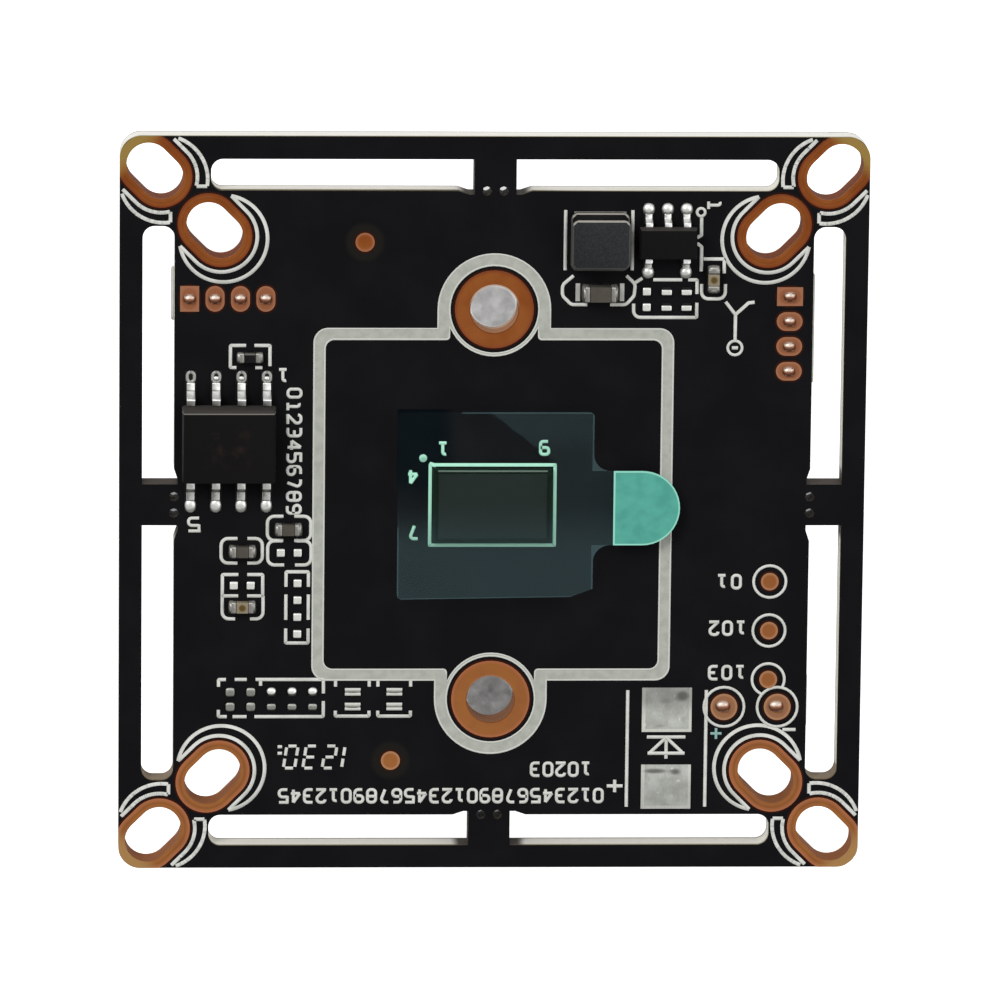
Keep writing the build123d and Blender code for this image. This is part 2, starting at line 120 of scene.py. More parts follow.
class Wiring:
    """A node tree, to which one method adds every node."""

    def __init__(self, tree):
        self.tree = tree

    def node(self, kind, settings=None, sockets=None, output=0):
        """Adds a node with its settings and its sockets' values or signals; returns an output."""
        made = self.tree.nodes.new(kind)
        for name, value in (settings or {}).items():
            setattr(made, name, value)
        for name, value in (sockets or {}).items():
            if isinstance(value, Signal):
                self.tree.links.new(value.socket, made.inputs[name])
            else:
                made.inputs[name].default_value = value
        return Signal(self, made.outputs[output]) if made.outputs else None

    def math(self, operation, first, second=0.0):
        return self.node("ShaderNodeMath", {"operation": operation}, {0: first, 1: second})


class Finish(Wiring):
    """A material. Its place signal is Object coordinates in millimetres."""

    def __init__(self, name):
        self.material = bpy.data.materials.new(name)
        self.material.use_nodes = True
        super().__init__(self.material.node_tree)
        self.tree.nodes.clear()
        raw = self.node("ShaderNodeTexCoord", output="Object")
        sockets = {0: raw, "Scale": 1 / MM}
        self.place = self.node("ShaderNodeVectorMath", {"operation": "SCALE"}, sockets)

    def parts(self, vector):
        """The X, Y and Z of a vector signal."""
        split = self.node("ShaderNodeSeparateXYZ", {}, {0: vector})
        outputs = split.socket.node.outputs
        return [Signal(self, outputs[name]) for name in "XYZ"]

    def normal(self, output="Normal"):
        return self.node("ShaderNodeNewGeometry", output=output)

    def noise(self, scale, detail=2.0, roughness=0.5, stretch=None):
        """Noise round 0.5 with so many lumps in a millimetre, times stretch along X, Y and Z."""
        place = self.place
        if stretch:
            sockets = {0: place, 1: stretch}
            place = self.node("ShaderNodeVectorMath", {"operation": "MULTIPLY"}, sockets)
        sockets = {"Vector": place, "Scale": scale, "Detail": detail, "Roughness": roughness}
        return self.node("ShaderNodeTexNoise", {}, sockets)

    def mix(self, share, first, second):
        """A colour between first and second."""
        sockets = {0: share, 6: first, 7: second}
        return self.node("ShaderNodeMix", {"data_type": "RGBA"}, sockets, 2)

    def layered(self, color, *layers):
        """A colour with others laid over it in turn; each layer is its share and its colour."""
        for share, other in layers:
            color = self.mix(share, color, other)
        return color

    def bump(self, height, strength, distance):
        """A normal from a height signal; distance is the height's real size in millimetres."""
        sockets = {"Height": height, "Strength": strength, "Distance": distance * MM}
        return self.node("ShaderNodeBump", {}, sockets)

    def surface(self, color, roughness, shine=0.5, **others):
        """Ends the material in one shader; others are its sockets, with _ for a space."""
        sockets = {"Base Color": color, "Roughness": roughness, "Specular IOR Level": shine}
        sockets.update({name.replace("_", " "): value for name, value in others.items()})
        shader = self.node("ShaderNodeBsdfPrincipled", {}, sockets)
        self.node("ShaderNodeOutputMaterial", {}, {"Surface": shader})
        return self.material


def rgb(red, green, blue):
    """A colour as a screen shows it, from 0 to 255, in the light that shaders work with."""
    light = [value / 255 for value in (red, green, blue)]
    light = [v / 12.92 if v < 0.04045 else ((v + 0.055) / 1.055) ** 2.4 for v in light]
    return (*light, 1.0)


def dress(name, material):
    """Gives a CAD piece its material."""
    nodes[name].data.materials.clear()
    nodes[name].data.materials.append(material)


def piece_box(name):
    """Lowest and highest corner of a CAD piece, in millimetres."""
    return [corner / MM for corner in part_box(name)]


def merged(name):
    """A CAD piece's mesh with its doubled points joined, for editing."""
    work = bmesh.new()
    work.from_mesh(nodes[name].data)
    bmesh.ops.remove_doubles(work, verts=work.verts, dist=1e-7)
    return work


def solid_boxes(name):
    """Lowest and highest corner, in millimetres, of each separate solid of a CAD piece."""
    work = merged(name)
    left, boxes = set(work.verts), []
    while left:
        reach = [left.pop()]
        seen = set(reach)
        while reach:
            for edge in reach.pop().link_edges:
                for vertex in edge.verts:
                    if vertex not in seen:
                        seen.add(vertex)
                        reach.append(vertex)
        left -= seen
        low = [min(v.co[k] for v in seen) / MM for k in range(3)]
        high = [max(v.co[k] for v in seen) / MM for k in range(3)]
        boxes.append((low, high))
    work.free()
    return sorted(boxes)


board_low, board_high = piece_box("board")
board_bottom, board_top = board_low.z, board_high.z
board_thickness = board_top - board_bottom
board_side = board_high.x - board_low.x
inner_half = 16.0

slot_places = (14.0, 17.0)
slot_reach = 1.5
slot_half = 0.45
land_radius = 1.55
lens_hole_y = 10.0
ring_outer = 1.98
bare_pads = ("socket_pads", "probe_pads", "fiducial_dots")
mask_pullback = 0.09
outer_wall_margin = 0.15
plating_limit = 36.5
tab_middle = 16.8
tab_reach = 1.4
mask_black = rgb(16, 16, 18)
mask_grey = rgb(20, 20, 22)
laminate_rim = rgb(88, 80, 58)
laminate_pale = rgb(186, 180, 154)
# Painted near white, as brightly lit laminate
laminate_painted_light = rgb(252, 250, 243)
# Painted dark, as shade in the tabs' break-off holes
laminate_painted_shade = rgb(76, 68, 62)
laminate_stained = rgb(116, 94, 64)
bare_edge = rgb(50, 22, 14)


def beyond(signal):
    """The signal where it is above 0, and 0 elsewhere."""
    return signal.math("MAXIMUM", signal)


def length(u, v):
    """The length of a line whose ends lie u and v apart."""
    return u.math("SQRT", u * u + v * v)


def from_slot(across, along, place):
    """How far a point is from the middle line of the nearest corner slot at this place."""
    u = (abs(across) + abs(along) - 2 * place) * math.sqrt(0.5)
    v = (abs(across) - abs(along)) * math.sqrt(0.5)
    return length(beyond(abs(u) - slot_half), v)


def from_lens_hole(across, along):
    """How far a point is from the middle of the nearer lens-holder hole."""
    return length(across, abs(along) - lens_hole_y)


def from_pad(across, along, low, high):
    """How far a point is outside a pad with round ends."""
    corner = min(high[0] - low[0], high[1] - low[1]) / 2 - 0.01
    u, v = [
        beyond(abs(way - (start + end) / 2) - ((end - start) / 2 - corner))
        for way, start, end in zip((across, along), low, high)
    ]
    return length(u, v) - corner


mask = Finish("Solder_mask")
across, along, height = mask.parts(mask.place)
far_x, far_y = abs(across), abs(along)
wall = abs(mask.parts(mask.normal())[2]) < 0.5
lower = along.over(inner_half, -inner_half)
grain = mask.noise(9.0, 3.0)
# The mask stops just short of every land, where a thin line of dark bare laminate shows
upper_face = height > board_top - 0.05
opening = from_lens_hole(across, along) < ring_outer + mask_pullback
plated, halo = 0.0, 0.0
for place in slot_places:
    opening = opening + (from_slot(across, along, place) < land_radius + mask_pullback)
    near_slot = (abs(far_x - place) < slot_reach) * (abs(far_y - place) < slot_reach)
    plated = near_slot + plated
inside = board_side / 2 - outer_wall_margin
plated = plated * (far_x < inside) * (far_y < inside) * (far_x + far_y < plating_limit)
for name in bare_pads:
    for low, high in solid_boxes(name):
        gap = from_pad(across, along, low, high)
        opening = opening + (gap < mask_pullback) * upper_face
        if name == "fiducial_dots":
            halo = halo + gap.over(0.62, 0.3) * upper_face
# The film's shadow makes the board under its upper left part darker and bluer
under_film = across.over(-1.7, -2.6) * along.over(0.0, 1.4)
under_film = under_film * (far_x < 4.8) * (along < 4.9) * upper_face
face = mask.layered(
    mask_black,
    (mask.noise(0.35, 3.0).over(0.35, 0.7), mask_grey),
    (halo * 0.6, rgb(34, 32, 27)),
    (under_film, rgb(1, 6, 11)),
    (opening.over(0.1, 0.9), bare_edge),
)
# Cut walls are dark along both faces of the board, and the rim is wider at the upper left. Deeper
# in they turn pale and are then painted near white, as brightly lit laminate. The walls at the tabs
# are painted dark, as shade in the break-off holes. The lower ends of the side gaps are stained
# brown from the copper beside them.
depth = board_top - height
wide_rim = along.over(-2.0, 14.0) * (far_y < 17.0) * across.over(6.0, -2.0)
rim_depth = depth - wide_rim * 0.25
on_tab_y = far_x.over(1.95, 1.45) * (abs(far_y - tab_middle) < tab_reach)
on_tab_x = far_y.over(1.95, 1.45) * (abs(far_x - tab_middle) < tab_reach)
gap_end = (along < -13.5) * far_x.between(15.8, 17.9) * (1.0 - plated)
glass_layers = mask.noise(5.0, stretch=(1.5, 1.5, 14.0))
edge = mask.layered(
    laminate_rim,
    (rim_depth.over(0.05, 0.16), laminate_pale),
    (rim_depth.over(0.16, 0.36), laminate_painted_light),
    (depth.over(board_thickness - 0.2, board_thickness - 0.05), laminate_rim),
    (glass_layers.over(0.4, 0.75) * 0.16, laminate_rim),
    (plated, mask.mix(lower, rgb(126, 64, 30), rgb(154, 96, 54))),
    (on_tab_y + on_tab_x, laminate_painted_shade),
    (gap_end * 0.85, laminate_stained),
)
mask_bump = mask.bump(grain, 0.25, 0.01)
board_tone = mask.mix(wall, face, edge)
dress("board", mask.surface(board_tone, 0.55 + 0.18 * grain, 0.035, Normal=mask_bump))

# Copper lands, plated holes and bare pads
# Copper under a thin preservative film, which turns it a dull orange brown. The rims of the
# lands are redder, and the frame's corners show the laminate past the lands.
copper = piece_box("probe_pads")[1].z - board_top
copper_top = board_top + copper
land_corner = 35.7
hole_radius = 1.2
groove_from, groove_to = 1.26, 1.36
pin_pads_from = 10.6
bare = Finish("Bare_copper")
across, along, height = bare.parts(bare.place)
facing = bare.parts(bare.normal())[2]
tarnish = bare.noise(0.9, 4.0)
fine = bare.noise(14.0, 2.0)
lower = along.over(inner_half, -inner_half)
far_x, far_y = abs(across), abs(along)
rim, groove = 0.0, 0.0
for slot_place in slot_places:
    reach = from_slot(across, along, slot_place)
    rim = rim + reach.over(land_radius - 0.2, land_radius) * (reach < land_radius + 0.02)
    groove = groove + reach.between(groove_from, groove_to)
from_hole = from_lens_hole(across, along)
rim = rim + from_hole.over(ring_outer - 0.2, ring_outer) * (from_hole < ring_outer + 0.02)
wall = facing.between(-0.5, 0.5)
# At each lens hole a thin ring along the upper side of the mouth and the foot of the wall are painted
# pale, most at the upper hole, as highlights on the plating; the lower side of the mouth is painted dark,
# as shade.
far_side = along.over(lens_hole_y, lens_hole_y + 0.8)
far_side = far_side + (along < 0.0) * along.over(-lens_hole_y, 0.8 - lens_hole_y)
mouth = (from_hole < hole_radius + 0.07) * (facing > 0.5) * far_side
lip = (from_hole < hole_radius + 0.02) * wall * (height < board_bottom + 0.5)
shaded_mouth = (from_hole < hole_radius + 0.05) * (facing > 0.5) * (1.0 - far_side)
upper_tone = bare.mix(tarnish.over(0.3, 0.72), rgb(130, 69, 29), rgb(146, 84, 40))
lower_tone = bare.mix(tarnish.over(0.35, 0.65), rgb(158, 100, 54), rgb(148, 93, 54))
pin_pads = along.between(6.0, 11.4) + along.between(-11.2, -9.7)
pin_pads = far_x.over(pin_pads_from, pin_pads_from + 0.1) * pin_pads
# Small pads are paler along their rims
pale_rim = 0.0
for name in bare_pads:
    for low, high in solid_boxes(name):
        gap = from_pad(across, along, low, high)
        pale_rim = pale_rim + gap.over(-0.17, -0.04) * (gap < 0.25)
corner = (far_x + far_y).over(land_corner - 0.6, land_corner + 0.6)
tone = bare.layered(
    bare.mix(lower, upper_tone, lower_tone),
    (groove * 0.22 + shaded_mouth * 0.5, rgb(92, 42, 22)),
    (rim * 0.75, bare.mix(lower, rgb(118, 54, 32), rgb(178, 110, 80))),
    (pin_pads * 0.8, bare.mix(lower, rgb(146, 93, 66), rgb(150, 108, 80))),
    (pale_rim * 0.6, bare.mix(lower, rgb(164, 112, 86), rgb(186, 142, 110))),
    (wall, bare.mix(lower, rgb(184, 132, 92), rgb(140, 92, 58))),
    ((mouth + lip) * (0.7 - 0.7 * lower), rgb(206, 190, 176)),
    (corner, bare.mix(lower, rgb(152, 124, 66), rgb(168, 128, 80))),
)
uneven = bare.bump(fine, 0.2, 0.01)
metal_share = 0.13 - 0.1 * corner
copper_material = bare.surface(tone, 0.45 + 0.16 * fine, 0.025, Metallic=metal_share, Normal=uneven)
for name in ("corner_slot_lands", "lens_hole_plating", *bare_pads):
    dress(name, copper_material)


def settle(piece, material_slot, *stands_for):
    """Puts a finished piece on the root body and hides what it stands for; material_slot is not used."""
    if stands_for:
        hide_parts(*stands_for)
    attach(piece, "root")
    return piece


def as_piece(name, mesh, material):
    """A new object at the origin that shows this mesh."""
    mesh.materials.clear()
    mesh.materials.append(material)
    piece = bpy.data.objects.new(name, mesh)
    scene.collection.objects.link(piece)
    return piece


back_lands_mesh = nodes["corner_slot_lands"].data.copy()
back_lands_mesh.transform(Matrix.Translation((0, 0, -(board_thickness + copper) * MM)))
settle(as_piece("back_slot_lands", back_lands_mesh, copper_material), "copper")

# Printed marks
# White epoxy ink, screened on as lines of one width: crescents round the slots, brackets round
# the small parts, rings and plain numbers.
ink_line = 0.165
print_depth = piece_box("holder_outline")[1].z - board_top
ink = Finish("White_ink")
worn = ink.noise(2.2, 4.0)
ink_tone = ink.mix(worn.over(0.3, 0.75), rgb(184, 186, 177), rgb(168, 171, 162))
ink_bump = ink.bump(ink.noise(18.0, 2.0), 0.3, 0.01)
dress("holder_outline", ink.surface(ink_tone, 0.55 + 0.2 * worn, 0.05, Normal=ink_bump))
thin_ink = Finish("White_ink_lines")
worn = thin_ink.noise(1.6, 3.0)
thin_tone = thin_ink.mix(worn.over(0.3, 0.75), rgb(226, 226, 221), rgb(206, 208, 200))
thin_ink_material = thin_ink.surface(thin_tone, 0.6, 0.1)


class Growth(Wiring):
    """A geometry node group that makes a piece's mesh from named inputs."""

    def __init__(self, name, **kinds):
        super().__init__(bpy.data.node_groups.new(name, "GeometryNodeTree"))
        self.keys = {}
        add = self.tree.interface.new_socket
        add("Geometry", in_out="OUTPUT", socket_type="NodeSocketGeometry")
        for label, kind in kinds.items():
            made = add(label, in_out="INPUT", socket_type="NodeSocket" + kind)
            self.keys[label] = made.identifier

    def given(self, label):
        return self.node("NodeGroupInput", output=label)

    def close(self, geometry):
        """Ends the group in one plain mesh of the given material."""
        whole = self.node("GeometryNodeRealizeInstances", {}, {"Geometry": geometry})
        sockets = {"Geometry": whole, "Material": self.given("Material")}
        self.node("NodeGroupOutput", {}, {0: self.node("GeometryNodeSetMaterial", {}, sockets)})

    def grow(self, name, source, material, material_slot, **values):
        """Runs the group on a curve or points, which then go, and settles what it makes."""
        feed = bpy.data.objects.new(name + "_feed", source)
        host = bpy.data.objects.new(name, bpy.data.meshes.new(name))
        for made in (feed, host):
            scene.collection.objects.link(made)
        modifier = host.modifiers.new("Grow", "NODES")
        modifier.node_group = self.tree
        for label, value in {"Source": feed, "Material": material, **values}.items():
            modifier[self.keys[label]] = value
        bpy.context.view_layer.update()
        evaluated = host.evaluated_get(bpy.context.evaluated_depsgraph_get())
        mesh = bpy.data.meshes.new_from_object(evaluated)
        host.modifiers.clear()
        for made in (host, feed):
            bpy.data.objects.remove(made)
        return settle(as_piece(name, mesh, material), material_slot)


# Ink lines are a flat rectangle swept along a curve with rounded corners
lines = Growth(
    "Ink_lines", Source="Object", Width="Float", Depth="Float", Corner="Float", Material="Material"
)
path = lines.node("GeometryNodeObjectInfo", {}, {"Object": lines.given("Source")}, "Geometry")
sockets = {"Curve": path, "Radius": lines.given("Corner"), "Count": 5, "Limit Radius": True}
path = lines.node("GeometryNodeFilletCurve", {"mode": "POLY"}, sockets)
path = lines.node("GeometryNodeSetCurveNormal", {"mode": "Z_UP"}, {"Curve": path})
sockets = {"Width": lines.given("Width"), "Height": lines.given("Depth")}
section = lines.node("GeometryNodeCurvePrimitiveQuadrilateral", {}, sockets)
sockets = {"Curve": path, "Profile Curve": section, "Fill Caps": True}
lines.close(lines.node("GeometryNodeCurveToMesh", {}, sockets))

stroke_step = 0.0022


def printed(
    name, strokes, corner=0.06, width=ink_line, material=thin_ink_material, lift=0.0, slot="print"
):
    """Ink lines on the board: each stroke is a list of points in millimetres.

    A stroke that ends where it starts is closed. Crossing strokes lie at slightly different
    levels, as their tops would flicker in one plane.
    """
    curve = bpy.data.curves.new(name, "CURVE")
    curve.dimensions = "3D"
    for index, points in enumerate(strokes):
        level = board_top + print_depth / 2 + lift + (index % 5) * stroke_step
        closed = math.dist(points[0], points[-1]) < 1e-6
        points = points[:-1] if closed else points
        spline = curve.splines.new("POLY")
        spline.points.add(len(points) - 1)
        for point, (x, y) in zip(spline.points, points):
            point.co = (x * MM, y * MM, level * MM, 1)
        spline.use_cyclic_u = closed
    sizes = {"Width": width * MM, "Depth": print_depth * MM, "Corner": corner * MM}
    return lines.grow(name, curve, material, slot, **sizes)


def at_turn(point, middle, turn):
    """A drawn point after a turn, in degrees, round the drawing's origin, which lies at middle."""
    angle = math.radians(turn)
    u, v = point
    x = middle[0] + u * math.cos(angle) - v * math.sin(angle)
    y = middle[1] + u * math.sin(angle) + v * math.cos(angle)
    return x, y


def arc(centre, radius, start=0, end=360, steps=28):
    """Points on an arc; start and end in degrees."""
    turns = [start + (end - start) * i / steps for i in range(steps + 1)]
    return [at_turn((radius, 0), centre, turn) for turn in turns]


# Crescents: a line beside the land of each slot, and a rounder one that starts from its ends.
# They are drawn with the slot along u and the middle of the board towards +u.
land_line_offset = 1.8
land_line_arc_u = 0.45
round_line_u = 0.608
round_line_radius = 2.2
end_u = round_line_u - math.sqrt(round_line_radius**2 - land_line_offset**2)
end_turn = math.degrees(math.asin(land_line_offset / round_line_radius))
land_line = [(end_u, -land_line_offset)]
land_line += arc((land_line_arc_u, 0), land_line_offset, -90, 90)
land_line += [(end_u, land_line_offset)]
round_line = arc((round_line_u, 0), round_line_radius, end_turn - 180, 180 - end_turn, 48)
notch = 0.78
frame_line_end = board_side / 2 - 0.1
inner_place, outer_place = slot_places


def at_slot(point, place, quarter):
    """A point of the drawing, at the slot in that quarter of the board."""
    turn = 225 + 90 * quarter
    middle = at_turn((-place * math.sqrt(2), 0), (0, 0), turn)
    return at_turn(point, middle, turn)


def clipped(line, keep):
    """The runs of a line whose points are kept."""
    runs, run = [], []
    for point in line:
        if keep(point):
            run.append(point)
        elif run:
            runs.append(run)
            run = []
    if run:
        runs.append(run)
    return [run for run in runs if len(run) > 1]


def off_notch(point):
    """Whether a point of a frame crescent is outside the corner where the inner land lies."""
    x, y = abs(point[0]), abs(point[1])
    short = sorted((outer_place - x, outer_place - y))
    return max(x, y) < frame_line_end and short[1] > 0 and short[0] < notch


crescents = []
for quarter in range(4):
    for line in (land_line, round_line):
        crescents.append([at_slot(point, inner_place, quarter) for point in line])
        fine_line = [
            (start[0] + (end[0] - start[0]) * i / 6, start[1] + (end[1] - start[1]) * i / 6)
            for start, end in zip(line, line[1:])
            for i in range(6)
        ]
        on_frame = [at_slot(point, outer_place, quarter) for point in fine_line]
        crescents += clipped(on_frame, off_notch)
    # Short end lines close the frame crescents beside the inner land
    sign_x = 1 if quarter in (0, 3) else -1
    sign_y = 1 if quarter in (0, 1) else -1
    end = outer_place - notch
    crescents.append([(sign_x * x, sign_y * end) for x in (14.92, 14.4)])
    crescents.append([(sign_x * end, sign_y * y) for y in (14.92, 14.4)])
printed("slot_crescents", crescents, width=0.18)


def rim_loops(name, inset):
    """Closed lines just inside the edges of a CAD piece's upper faces, in millimetres."""
    work = merged(name)
    lower_faces = [face for face in work.faces if face.normal.z < 0.5]
    bmesh.ops.delete(work, geom=lower_faces, context="FACES")
    onward = {}
    for edge in work.edges:
        if edge.is_boundary:
            loop = edge.link_loops[0]
            onward[loop.vert] = loop.link_loop_next.vert
    loops = []
    while onward:
        start, there = onward.popitem()
        run = [start]
        while there is not start:
            run.append(there)
            there = onward.pop(there)
        loops.append([Vector(vertex.co.xy) / MM for vertex in run])
    work.free()
    inner = []
    for loop in loops:
        moved = []
        for before, point, after in zip(loop[-1:] + loop[:-1], loop, loop[1:] + loop[:1]):
            sides = [(point - before).normalized(), (after - point).normalized()]
            inward = [Vector((-side.y, side.x)) for side in sides]
            middle = (inward[0] + inward[1]).normalized()
            moved.append(tuple(point + middle * inset / max(0.5, middle.dot(inward[0]))))
        inner.append(moved + moved[:1])
    return inner


# Screened ink is thickest, and so whitest, along its edges
ridge_material = Finish("White_ink_ridges").surface(rgb(212, 214, 206), 0.6, 0.05)
ridge_width = 0.085
ridges = rim_loops("holder_outline", ridge_width / 2)
printed("outline_ridges", ridges, 0.0, ridge_width, ridge_material, 0.004)

# Printed numbers and brackets
# The same white ink. Each digit is a stroke or two on a grid 2 wide and 4 high, and each small
# part stands in a bracket of two or more lines.
digit_strokes = {
    "0": [[(0, 0), (2, 0), (2, 4), (0, 4), (0, 0)]],
    "1": [[(0.3, 3.4), (1.1, 4), (1.1, 0)], [(0.2, 0), (2, 0)]],
    "2": [[(0, 3.1), (0, 4), (2, 4), (2, 2.4), (0, 0)], [(-0.2, 0), (2.2, 0)]],
    "3": [[(0, 4), (2, 4), (2, 0), (0, 0)], [(0.6, 2), (2, 2)]],
    "4": [[(1.6, 0), (1.6, 4)], [(1.6, 4), (0, 1.2)], [(0, 1.2), (2.2, 1.2)]],
    "5": [[(2, 4), (-0.3, 4)], [(0, 4), (0, 2)], [(0, 2.3), (2, 2.3), (2, 0), (0, 0)]],
    "6": [[(1.8, 4), (0, 4), (0, 0), (2, 0), (2, 2.2), (0, 2.2)]],
    "7": [[(0, 4), (2, 4), (0.8, 0)]],
    "8": [[(0, 0), (2, 0), (2, 4), (0, 4), (0, 0)], [(0, 2.1), (2, 2.1)]],
    "9": [[(0.2, 0), (2, 0), (2, 4), (0, 4), (0, 1.9), (2, 1.9)]],
}
digit_height = 0.66
digit_pitch = 0.66


def numbered(
    text, middle, turn, pitch=digit_pitch, stretch=1.25, shapes=digit_strokes, size=digit_height, lean=0.0
):
    """Strokes of a row of digits; turn is in degrees, and lean slants them to the right."""
    unit = size / 4
    strokes = []
    for index, digit in enumerate(text):
        start = (index - (len(text) - 1) / 2) * pitch - unit * stretch
        for points in shapes[digit]:
            drawn = [(start + (x + lean * y) * unit * stretch, (y - 2) * unit) for x, y in points]
            strokes.append([at_turn(point, middle, turn) for point in drawn])
    return strokes


number_rows = [
    ("01234567890123456789012345", (-2.45, -15.02), 180, 0.638),
    ("10203", (3.6, -13.65), 180, 0.64),
    ("0123456789", (-9.98, 2.75), -90),
    ("01", (12.0, -3.95), 180, 0.72),
    ("102", (11.95, -6.35), 180, 0.68),
    ("103", (11.95, -8.65), 180, 0.68),
    ("1", (-10.55, 6.6), 180),
    ("5", (-15.0, -1.0), 180, digit_pitch, 1.6),
    ("1", (11.0, 15.33), -90),
]
numbers = [stroke for row in number_rows for stroke in numbered(*row)]
printed("printed_numbers", numbers, corner=0.17, width=0.15, lift=0.0015)

# Leaning digits made of straight bars with gaps between them
bar_points = {
    "a": ((0.3, 4), (1.7, 4)),
    "b": ((2, 3.75), (2, 2.3)),
    "c": ((2, 1.7), (2, 0.25)),
    "d": ((0.3, 0), (1.7, 0)),
    "e": ((0, 1.7), (0, 0.25)),
    "f": ((0, 3.75), (0, 2.3)),
    "g": ((0.3, 2), (1.7, 2)),
}
digit_bars = {"0": "abcdef", "1": "bc", "2": "abged", "3": "abgcd"}
bar_digits = {digit: [bar_points[bar] for bar in bars] for digit, bars in digit_bars.items()}
segment_strokes = numbered("1230", (-8.5, -13.0), 180, 0.98, 1.0, bar_digits, 1.14, 0.15)
segment_strokes += [[(-10.72, y), (-10.5, y)] for y in (-12.46, -12.8)]
printed("segment_numbers", segment_strokes, width=0.155, lift=0.002)


def bracket(left, right, bottom, top, gap_left, gap_right):
    """The two halves of a printed frame, open in the middle of its top and bottom."""
    return [
        [(gap, top), (side, top), (side, bottom), (gap, bottom)]
        for gap, side in ((gap_left, left), (gap_right, right))
    ]


rounded = bracket(-11.3, -9.12, -1.82, -0.58, -10.5, -9.95)
rounded += [
    [(-10.45, -3.08), (-11.28, -3.08), (-11.28, -1.84), (-10.55, -1.84)],
    [(-9.9, -3.08), (-9.1, -3.08), (-9.1, -1.84), (-9.85, -1.84)],
]
rounded += bracket(-13.62, -11.55, -2.98, -1.72, -12.8, -12.3)
rounded += [
    [(-13.55, -4.67), (-13.55, -5.85), (-12.9, -5.85)],
    [(-11.5, -4.67), (-11.5, -5.85), (-12.15, -5.85)],
    [(3.95, 11.72), (3.4, 11.25), (3.4, 10.7), (3.85, 10.25), (4.65, 10.25)],
    [(6.6, 11.72), (7.05, 11.3), (7.0, 10.7), (6.6, 10.25), (5.8, 10.25)],
    [(10.38, 11.3), (10.38, 10.55), (11.57, 10.55), (11.57, 11.3)],
    [(8.6, 9.6), (6.98, 9.6), (6.98, 10.3)],
]
printed("round_brackets", rounded, corner=0.34, lift=0.001)

squared = [
    [(-12.42, 8.15), (-13.2, 8.15), (-13.2, 7.02), (-12.9, 7.02)],
    [(-12.0, 8.15), (-11.22, 8.15), (-11.22, 7.1)],
    [(-11.95, 7.02), (-11.6, 7.02)],
]
squared += bracket(-13.55, -11.52, -4.67, -3.57, -12.75, -12.3)
squared += [
    [(-10.35, -4.2), (-10.35, -3.43), (-9.22, -3.43), (-9.22, -4.2)],
    [(-10.35, -4.6), (-10.35, -5.9)],
    [(-9.22, -4.6), (-9.22, -5.9)],
    [(-10.35, -6.35), (-10.35, -7.1), (-9.22, -7.1), (-9.22, -6.35)],
    [(-13.35, -8.98), (-13.72, -8.98), (-13.72, -9.35)],
    [(-12.9, -8.98), (-12.3, -8.98)],
    [(-11.85, -8.98), (-8.43, -8.98), (-8.43, -9.7)],
    [(-13.72, -10.55), (-13.72, -10.9), (-13.3, -10.9)],
    [(-13.0, -10.9), (-12.3, -10.9)],
    [(-11.9, -10.9), (-8.43, -10.9), (-8.43, -10.1)],
    [(-11.6, -8.98), (-11.6, -9.3)],
]
for left, right in ((-7.82, -6.12), (-5.68, -4.03)):
    squared += [[(left, -10.6), (left, -10.88), (right, -10.88), (right, -10.6)]]
    squared += [[(side, -9.05), (side, -9.35)] for side in (left, right)]
squared += [
    [(7.95, 11.52), (9.4, 11.52)],
    [(9.7, 11.52), (10.15, 11.52), (10.15, 10.8)],
    [(10.15, 10.35), (10.15, 9.6), (8.5, 9.6)],
    [(7.02, 11.35), (7.4, 11.6)],
    [(10.33, 14.68), (10.33, 13.78), (10.12, 13.66)],
    [(10.12, 13.38), (10.35, 13.2), (10.35, 11.95)],
    [(10.45, 12.58), (11.5, 12.58), (11.5, 11.85)],
    [(6.95, -9.55), (6.95, -15.6)],
    [(10.93, -9.55), (10.93, -15.6)],
    [(3.52, 12.0), (3.52, 15.05)],
    [(6.88, 12.0), (6.88, 15.05)],
]
printed("square_brackets", squared)

# The diode's symbol, plus and minus signs, and a line with a ring at its end
marks = [
    [(7.95, -11.98), (9.9, -11.98)],
    [(8.93, -11.98), (8.93, -13.1)],
    [(8.93, -12.0), (8.05, -12.85)],
    [(8.93, -12.0), (9.82, -12.85)],
    [(8.0, -12.82), (9.87, -12.82)],
    [(5.95, -14.52), (6.75, -14.52)],
    [(6.35, -14.2), (6.35, -14.84)],
    [(14.82, -11.6), (15.48, -11.6)],
    [(12.1, 8.4), (12.1, 9.75), (12.75, 10.35), (13.05, 10.38)],
    [(12.1, 9.75), (11.6, 10.4)],
    [(11.95, 8.05), (12.25, 8.05)],
]
printed("marks", marks, lift=0.0005)
green_ink_material = Finish("Greenish_ink").surface(rgb(146, 186, 182), 0.6, 0.1)
plus_sign = [[(11.17, -11.8), (11.73, -11.8)], [(11.45, -11.52), (11.45, -12.08)]]
printed("plus_sign", plus_sign, width=0.13, material=green_ink_material)

power_ring, probe_ring = 1.02, 0.82
rings = [arc((10.3, 14.95), 0.2), arc((12.1, 8.05), 0.36)]
rings += [arc((x, -10.42), power_ring) for x in (11.83, 14.53)]
rings += [arc((14.05, y), probe_ring) for y in (-3.94, -6.47)]
rings += [arc((14.05, -9.0), probe_ring, -31, 248)]
printed("printed_rings", rings, width=0.135, lift=0.0012)

